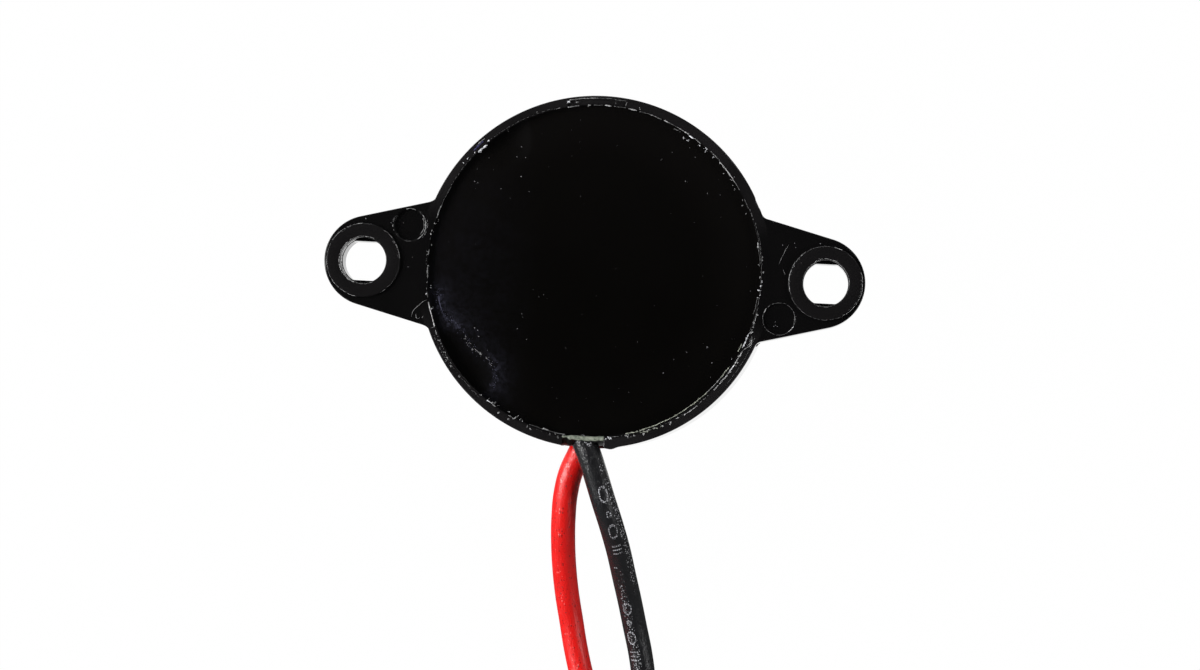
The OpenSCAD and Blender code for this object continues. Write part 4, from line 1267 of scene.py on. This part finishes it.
def sealant_finish():
    """Slot sealant: chalky grey-green where it meets the rim, darker lower down where the leads come out, as
    painted shade of the slot with some grime.
    """
    material, tree, shader, place = finish_of("green_grey_sealant")
    grain = grained(tree, place, 0.22)
    specks = specked(tree, place, 0.3, 0.06, 0.3)
    tone = blend(tree, spread(tree, grain["Height"], 0.35, 0.65), (0.11, 0.13, 0.1), (0.3, 0.33, 0.26))
    tone = laid_on(tree, tone, specks, 0.5, (0.05, 0.06, 0.045))
    # Painted shade of the slot, with some grime: darker below the rim's level
    shade_and_grime = spread(tree, split(tree, place)[2], RIM_Z - 0.02, RIM_Z - 0.1)
    tone = blend(tree, shade_and_grime, tone, (0.005, 0.005, 0.0045))
    wire(tree, shader, Base_Color=tone, Roughness=0.45, Normal=bumped(tree, grain["Height"], 0.02))
    return material


def tinted(name, rough):
    """Worn edges and crumbs, with the glints and edge highlights painted on them: each part's own tone, mottled."""
    material, tree, shader, place = finish_of(name)
    grain = grained(tree, place, 0.25)
    own = node(tree, "Attribute", attribute_name="tint").outputs["Color"]
    shade = blend(tree, spread(tree, grain["Height"], 0.4, 0.62), (0.5, 0.5, 0.5), (1.0, 1.0, 1.0))
    tone = node(tree, "VectorMath", {0: own, 1: shade}, operation="MULTIPLY").outputs[0]
    wire(tree, shader, Base_Color=tone, Roughness=rough, Normal=bumped(tree, grain["Height"], 0.01))
    return material


def metal(name, dark, light, rough, depth=0.003):
    """Plate, wire, solder and foil: metal with a slow tarnish, fine scuffs and a soft grain."""
    material, tree, shader, place = finish_of(name)
    grain = grained(tree, place, 0.6)
    scuffs = scuffed(tree, place, 0.2, 0.12)
    tone = blend(tree, grain["Drift"], dark, light)
    roughness = times_plus(tree, scuffs, 0.15, times_plus(tree, grain["Drift"], 0.14, rough))
    wire(tree, shader, Base_Color=tone, Metallic=1.0, Roughness=roughness,
        Normal=bumped(tree, grain["Height"], depth))
    return material


def dark_body(name, dark, light, rough, end=None):
    """Chip bodies and ferrite: fine dull grain; end gives (axis, middle, half) past which it is tinned."""
    material, tree, shader, place = finish_of(name)
    grain = grained(tree, place, 0.15)
    tone = blend(tree, grain["Height"], dark, light)
    wire(tree, shader, Roughness=rough, Normal=bumped(tree, grain["Height"], 0.01))
    if end:
        axis, middle, half = end
        part = split(tree, place)[axis]
        away = apart(tree, part, middle)
        cap = calc(tree, "GREATER_THAN", away, half)
        tone = blend(tree, cap, tone, (0.6, 0.6, 0.6))
        wire(tree, shader, Metallic=cap)
    wire(tree, shader, Base_Color=tone)
    return material


def winding():
    """Enamelled wire wound round the core: turns stacked up the coil, as ridges in height, with painted shade in
    the creases between turns and painted highlight on their crests.
    """
    material, tree, shader, place = finish_of("enamelled_winding")
    grain = grained(tree, place, 0.5)
    height = split(tree, place)[2]
    turn = calc(tree, "ABSOLUTE", calc(tree, "SINE", times(tree, height, math.pi / 0.12)))
    # Painted shade and highlight: dark in the creases between turns, light on their crests
    tone = blend(tree, turn, (0.12, 0.03, 0.01), (0.55, 0.2, 0.07))
    wire(tree, shader, Base_Color=tone, Metallic=0.6, Normal=bumped(tree, turn, 0.05),
        Roughness=times_plus(tree, grain["Drift"], 0.15, 0.2))
    return material


def board_finish():
    """Phenolic paper board: warm brown, with short fibres."""
    material, tree, shader, place = finish_of("paper_board")
    grain = grained(tree, place, 0.7)
    fibres = scuffed(tree, place, 0.1, 0.2)
    tone = blend(tree, grain["Height"], (0.33, 0.2, 0.07), (0.48, 0.32, 0.13))
    tone = laid_on(tree, tone, fibres, 0.4, (0.6, 0.45, 0.25))
    wire(tree, shader, Base_Color=tone, Roughness=0.5, Normal=bumped(tree, grain["Height"], 0.008))
    return material


# How much of a chip resistor's end is tinned
CAP = 0.28
SLOT_FINISH = {
    "black_case": moulded_case(),
    "black_resin": potting_resin(),
    "sealant": sealant_finish(),
    # The leads' bands of pale specks and their tones are painted highlights
    "red_insulation": insulation_finish("red_insulation", (0.74, 0.008, 0.006), (0.86, 0.012, 0.01), 0.24,
        0.35, 0.045, shine=0.8, highlight_bands=[(0.19, 3, 200, 0.25)], highlight_tone=(1.0, 0.3, 0.28)),
    "black_insulation": insulation_finish("black_insulation", (0.01, 0.01, 0.011), (0.018, 0.018, 0.019),
        0.17, 0.5, 0.05, shine=0.8, printed=True, highlight_bands=[(0.39, 6.2, 15, 0.9), (0.2, 14, 200, 0.9)],
        highlight_tone=(0.45, 0.45, 0.47)),
    "blue_insulation": insulation_finish("blue_insulation", (0.01, 0.03, 0.3), (0.02, 0.05, 0.4), 0.3,
        0.2, 0.03),
    "brass": metal("spun_brass", (0.62, 0.42, 0.15), (0.8, 0.6, 0.28), 0.24),
    "piezo_ceramic": pale_paste("fired_ceramic", (0.5, 0.44, 0.3), (0.66, 0.6, 0.46), 0.6),
    "silver_electrode": metal("fired_silver", (0.66, 0.65, 0.62), (0.86, 0.86, 0.84), 0.42),
    "solder": metal("solder", (0.5, 0.51, 0.52), (0.72, 0.73, 0.74), 0.2, 0.02),
    "tinned_copper": metal("tinned_copper", (0.6, 0.59, 0.57), (0.8, 0.8, 0.79), 0.22),
    "adhesive": pale_paste("cured_glue", (0.42, 0.4, 0.3), (0.6, 0.57, 0.46), 0.35),
    "board": board_finish(),
    "copper": metal("etched_copper", (0.6, 0.26, 0.13), (0.8, 0.42, 0.26), 0.3),
    "epoxy_body": dark_body("epoxy_body", (0.012, 0.012, 0.012), (0.03, 0.03, 0.03), 0.5),
    "ferrite": dark_body("ferrite", (0.03, 0.03, 0.033), (0.08, 0.08, 0.085), 0.6),
    "enamelled_wire": winding(),
}
dust_finish = pale_paste("dust", (0.18, 0.18, 0.19), (0.36, 0.36, 0.38), 0.6)
wear_and_glint_finish = tinted("plastic_wear_and_glints", 0.4)


def coat(piece, finish):
    """Gives a piece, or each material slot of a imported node, one finish."""
    if not piece.material_slots:
        piece.data.materials.append(finish)
    for slot in piece.material_slots:
        slot.material = finish


for part in frame["record"]["subparts"]:
    coat(frame["nodes"][part["node"]], SLOT_FINISH[part["material_slot"]])
for name, axis in (("base_resistor", 1), ("bias_resistor", 0)):
    low, high = box(name)
    coat(frame["nodes"][name], dark_body("chip_" + name, (0.01, 0.01, 0.012), (0.03, 0.03, 0.034), 0.4,
        (axis, float(low[axis] + high[axis]) / 2, float(high[axis] - low[axis]) / 2 - CAP)))

# ---- Light, floor and background ----

LAMP_AWAY = 0.5
FLOOR_SIDE = 3000.0
# Lamps: side and rise in degrees, size in metres, radiance, and whether they are mirrored and whether they light
LAMPS = {
    "left_fill": (182, 34, (0.5, 0.34), 6.2, False, True),
    "right_fill": (-18, 26, (0.34, 0.18), 5.0, False, True),
    "left_lamp": (176, 38, (0.22, 0.1), 9.0, True, True),
    "left_gleam": (184, 30, (0.1, 0.08), 26.0, True, False),
    "right_lamp": (-22, 24, (0.22, 0.06), 4.0, True, True),
    "back_lamp": (95, 34, (0.12, 0.06), 6.0, True, True),
    "far_lamp": (48, 32, (0.08, 0.06), 6.0, True, True),
    "near_lamp": (222, 30, (0.08, 0.06), 6.0, True, True),
}


def aimed_light(name, side, rise, size, radiance, glossy, diffuse):
    """An area light at LAMP_AWAY metres, side and rise in degrees round and above the case, turned to it;
    without glossy it lights surfaces but isn't mirrored in them, and without diffuse the other way round."""
    data = bpy.data.lights.new(name, "AREA")
    data.shape = "RECTANGLE"
    data.size, data.size_y = size
    data.energy = radiance * math.pi * size[0] * size[1]
    lamp = bpy.data.objects.new(name, data)
    bpy.context.scene.collection.objects.link(lamp)
    a, b = math.radians(side), math.radians(rise)
    way = Vector((math.cos(a) * math.cos(b), math.sin(a) * math.cos(b), math.sin(b)))
    lamp.location = way * LAMP_AWAY
    lamp.rotation_euler = way.to_track_quat("Z", "Y").to_euler()
    lamp.visible_camera = False
    lamp.visible_glossy = glossy
    lamp.visible_diffuse = diffuse


for name, settings in LAMPS.items():
    aimed_light(name, *settings)


def make_world():
    """A studio tent: dark overhead and on the front side, paler towards the other walls; white where seen."""
    world = bpy.data.worlds.new("tent")
    bpy.context.scene.world = world
    world.use_nodes = True
    tree = world.node_tree
    shader = tree.nodes["Background"]
    way = split(tree, node(tree, "TexCoord").outputs["Generated"])
    wall = times(tree, spread(tree, way[2], 0.77, 0.25), spread(tree, way[1], -0.7, 0.2, 0.15))
    left = spread(tree, way[0], -0.1, -0.6)
    glow = times_plus(tree, left, 0.04, 0.012)
    level = times_plus(tree, wall, 0.35, glow)
    camera_ray = node(tree, "LightPath").outputs["Is Camera Ray"]
    tone = blend(tree, wall, (0.86, 0.9, 1.0), (1.0, 1.0, 1.0))
    wire(tree, shader, Color=blend(tree, camera_ray, tone, (1.0, 1.0, 1.0)),
        Strength=node(tree, "Mix", {"Factor": camera_ray, "A": level, "B": 1.0}).outputs[0])


def near_case(tree, place):
    """1 on the floor close round the case and under its ears, falling softly to 0.06 beyond."""
    part = split(tree, place)
    ears = times(tree, spread(tree, calc(tree, "ABSOLUTE", part[1]), 6.0, 3.4),
        spread(tree, calc(tree, "ABSOLUTE", part[0]), 20.5, 18.0))
    away = node(tree, "VectorMath", {0: place}, operation="LENGTH").outputs["Value"]
    near = calc(tree, "MAXIMUM", ears, spread(tree, away, 16.0, 12.0))
    return times_plus(tree, near, 0.94, 0.06)


def make_floor():
    """A pale floor: plain white where it is seen, lit as it is for soft light, and mirrored as white only
    close round the case and under its ears, and as dark beyond."""
    far = FLOOR_SIDE / 2
    corners = [(-far, -far, 0), (far, -far, 0), (far, far, 0), (-far, far, 0)]
    floor = mesh_object("floor", corners, [(0, 1, 2, 3)], tidy=False)
    material, tree, shader, place = finish_of("pale_floor")
    wire(tree, shader, Base_Color=(0.6, 0.6, 0.6, 1), Roughness=0.9, Specular_IOR_Level=0.0)
    glow = node(tree, "Emission", {"Color": (1, 1, 1, 1), "Strength": 1.0})
    path = node(tree, "LightPath").outputs
    seen = calc(tree, "MAXIMUM", path["Is Camera Ray"], path["Is Transmission Ray"])
    glossy = path["Is Glossy Ray"]
    share = calc(tree, "MAXIMUM", times(tree, seen, 0.995), glossy)
    tree.links.new(calc(tree, "MAXIMUM", calc(tree, "SUBTRACT", 1.0, glossy), near_case(tree, place)),
        glow.inputs["Strength"])
    both = node(tree, "MixShader", {0: share, 1: shader.outputs[0], 2: glow.outputs[0]})
    tree.links.new(both.outputs[0], tree.nodes["Material Output"].inputs["Surface"])
    floor.data.materials.append(material)


make_world()
make_floor()

# ---- What rides where, and what stands for what ----

PIECES = [
    (case, "black_case", ["case"]),
    (resin, "black_resin", ["resin"]),
    (red_lead, "red_insulation", ["red_lead", "coiled_leads"]),
    (black_lead, "black_insulation", ["black_lead", "coiled_leads"]),
    (red_strands, "tinned_copper", ["red_tip"]),
    (black_strands, "tinned_copper", ["black_tip"]),
    (sealant, "sealant", ["exit_sealant"]),
    (edge_wear_and_glints, "black_case", []),
    (rim_crumbs, "black_case", []),
    (dust_specks, "black_resin", []),
    (ear_scratches, "black_case", []),
]
for piece, slot, nodes in PIECES:
    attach(piece, "root")
    coat(piece, SLOT_FINISH[slot])
    if nodes:
        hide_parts(*nodes)
coat(dust_specks, dust_finish)
for piece in (edge_wear_and_glints, rim_crumbs, ear_scratches):
    coat(piece, wear_and_glint_finish)

bpy.context.scene.view_settings.view_transform = "Standard"
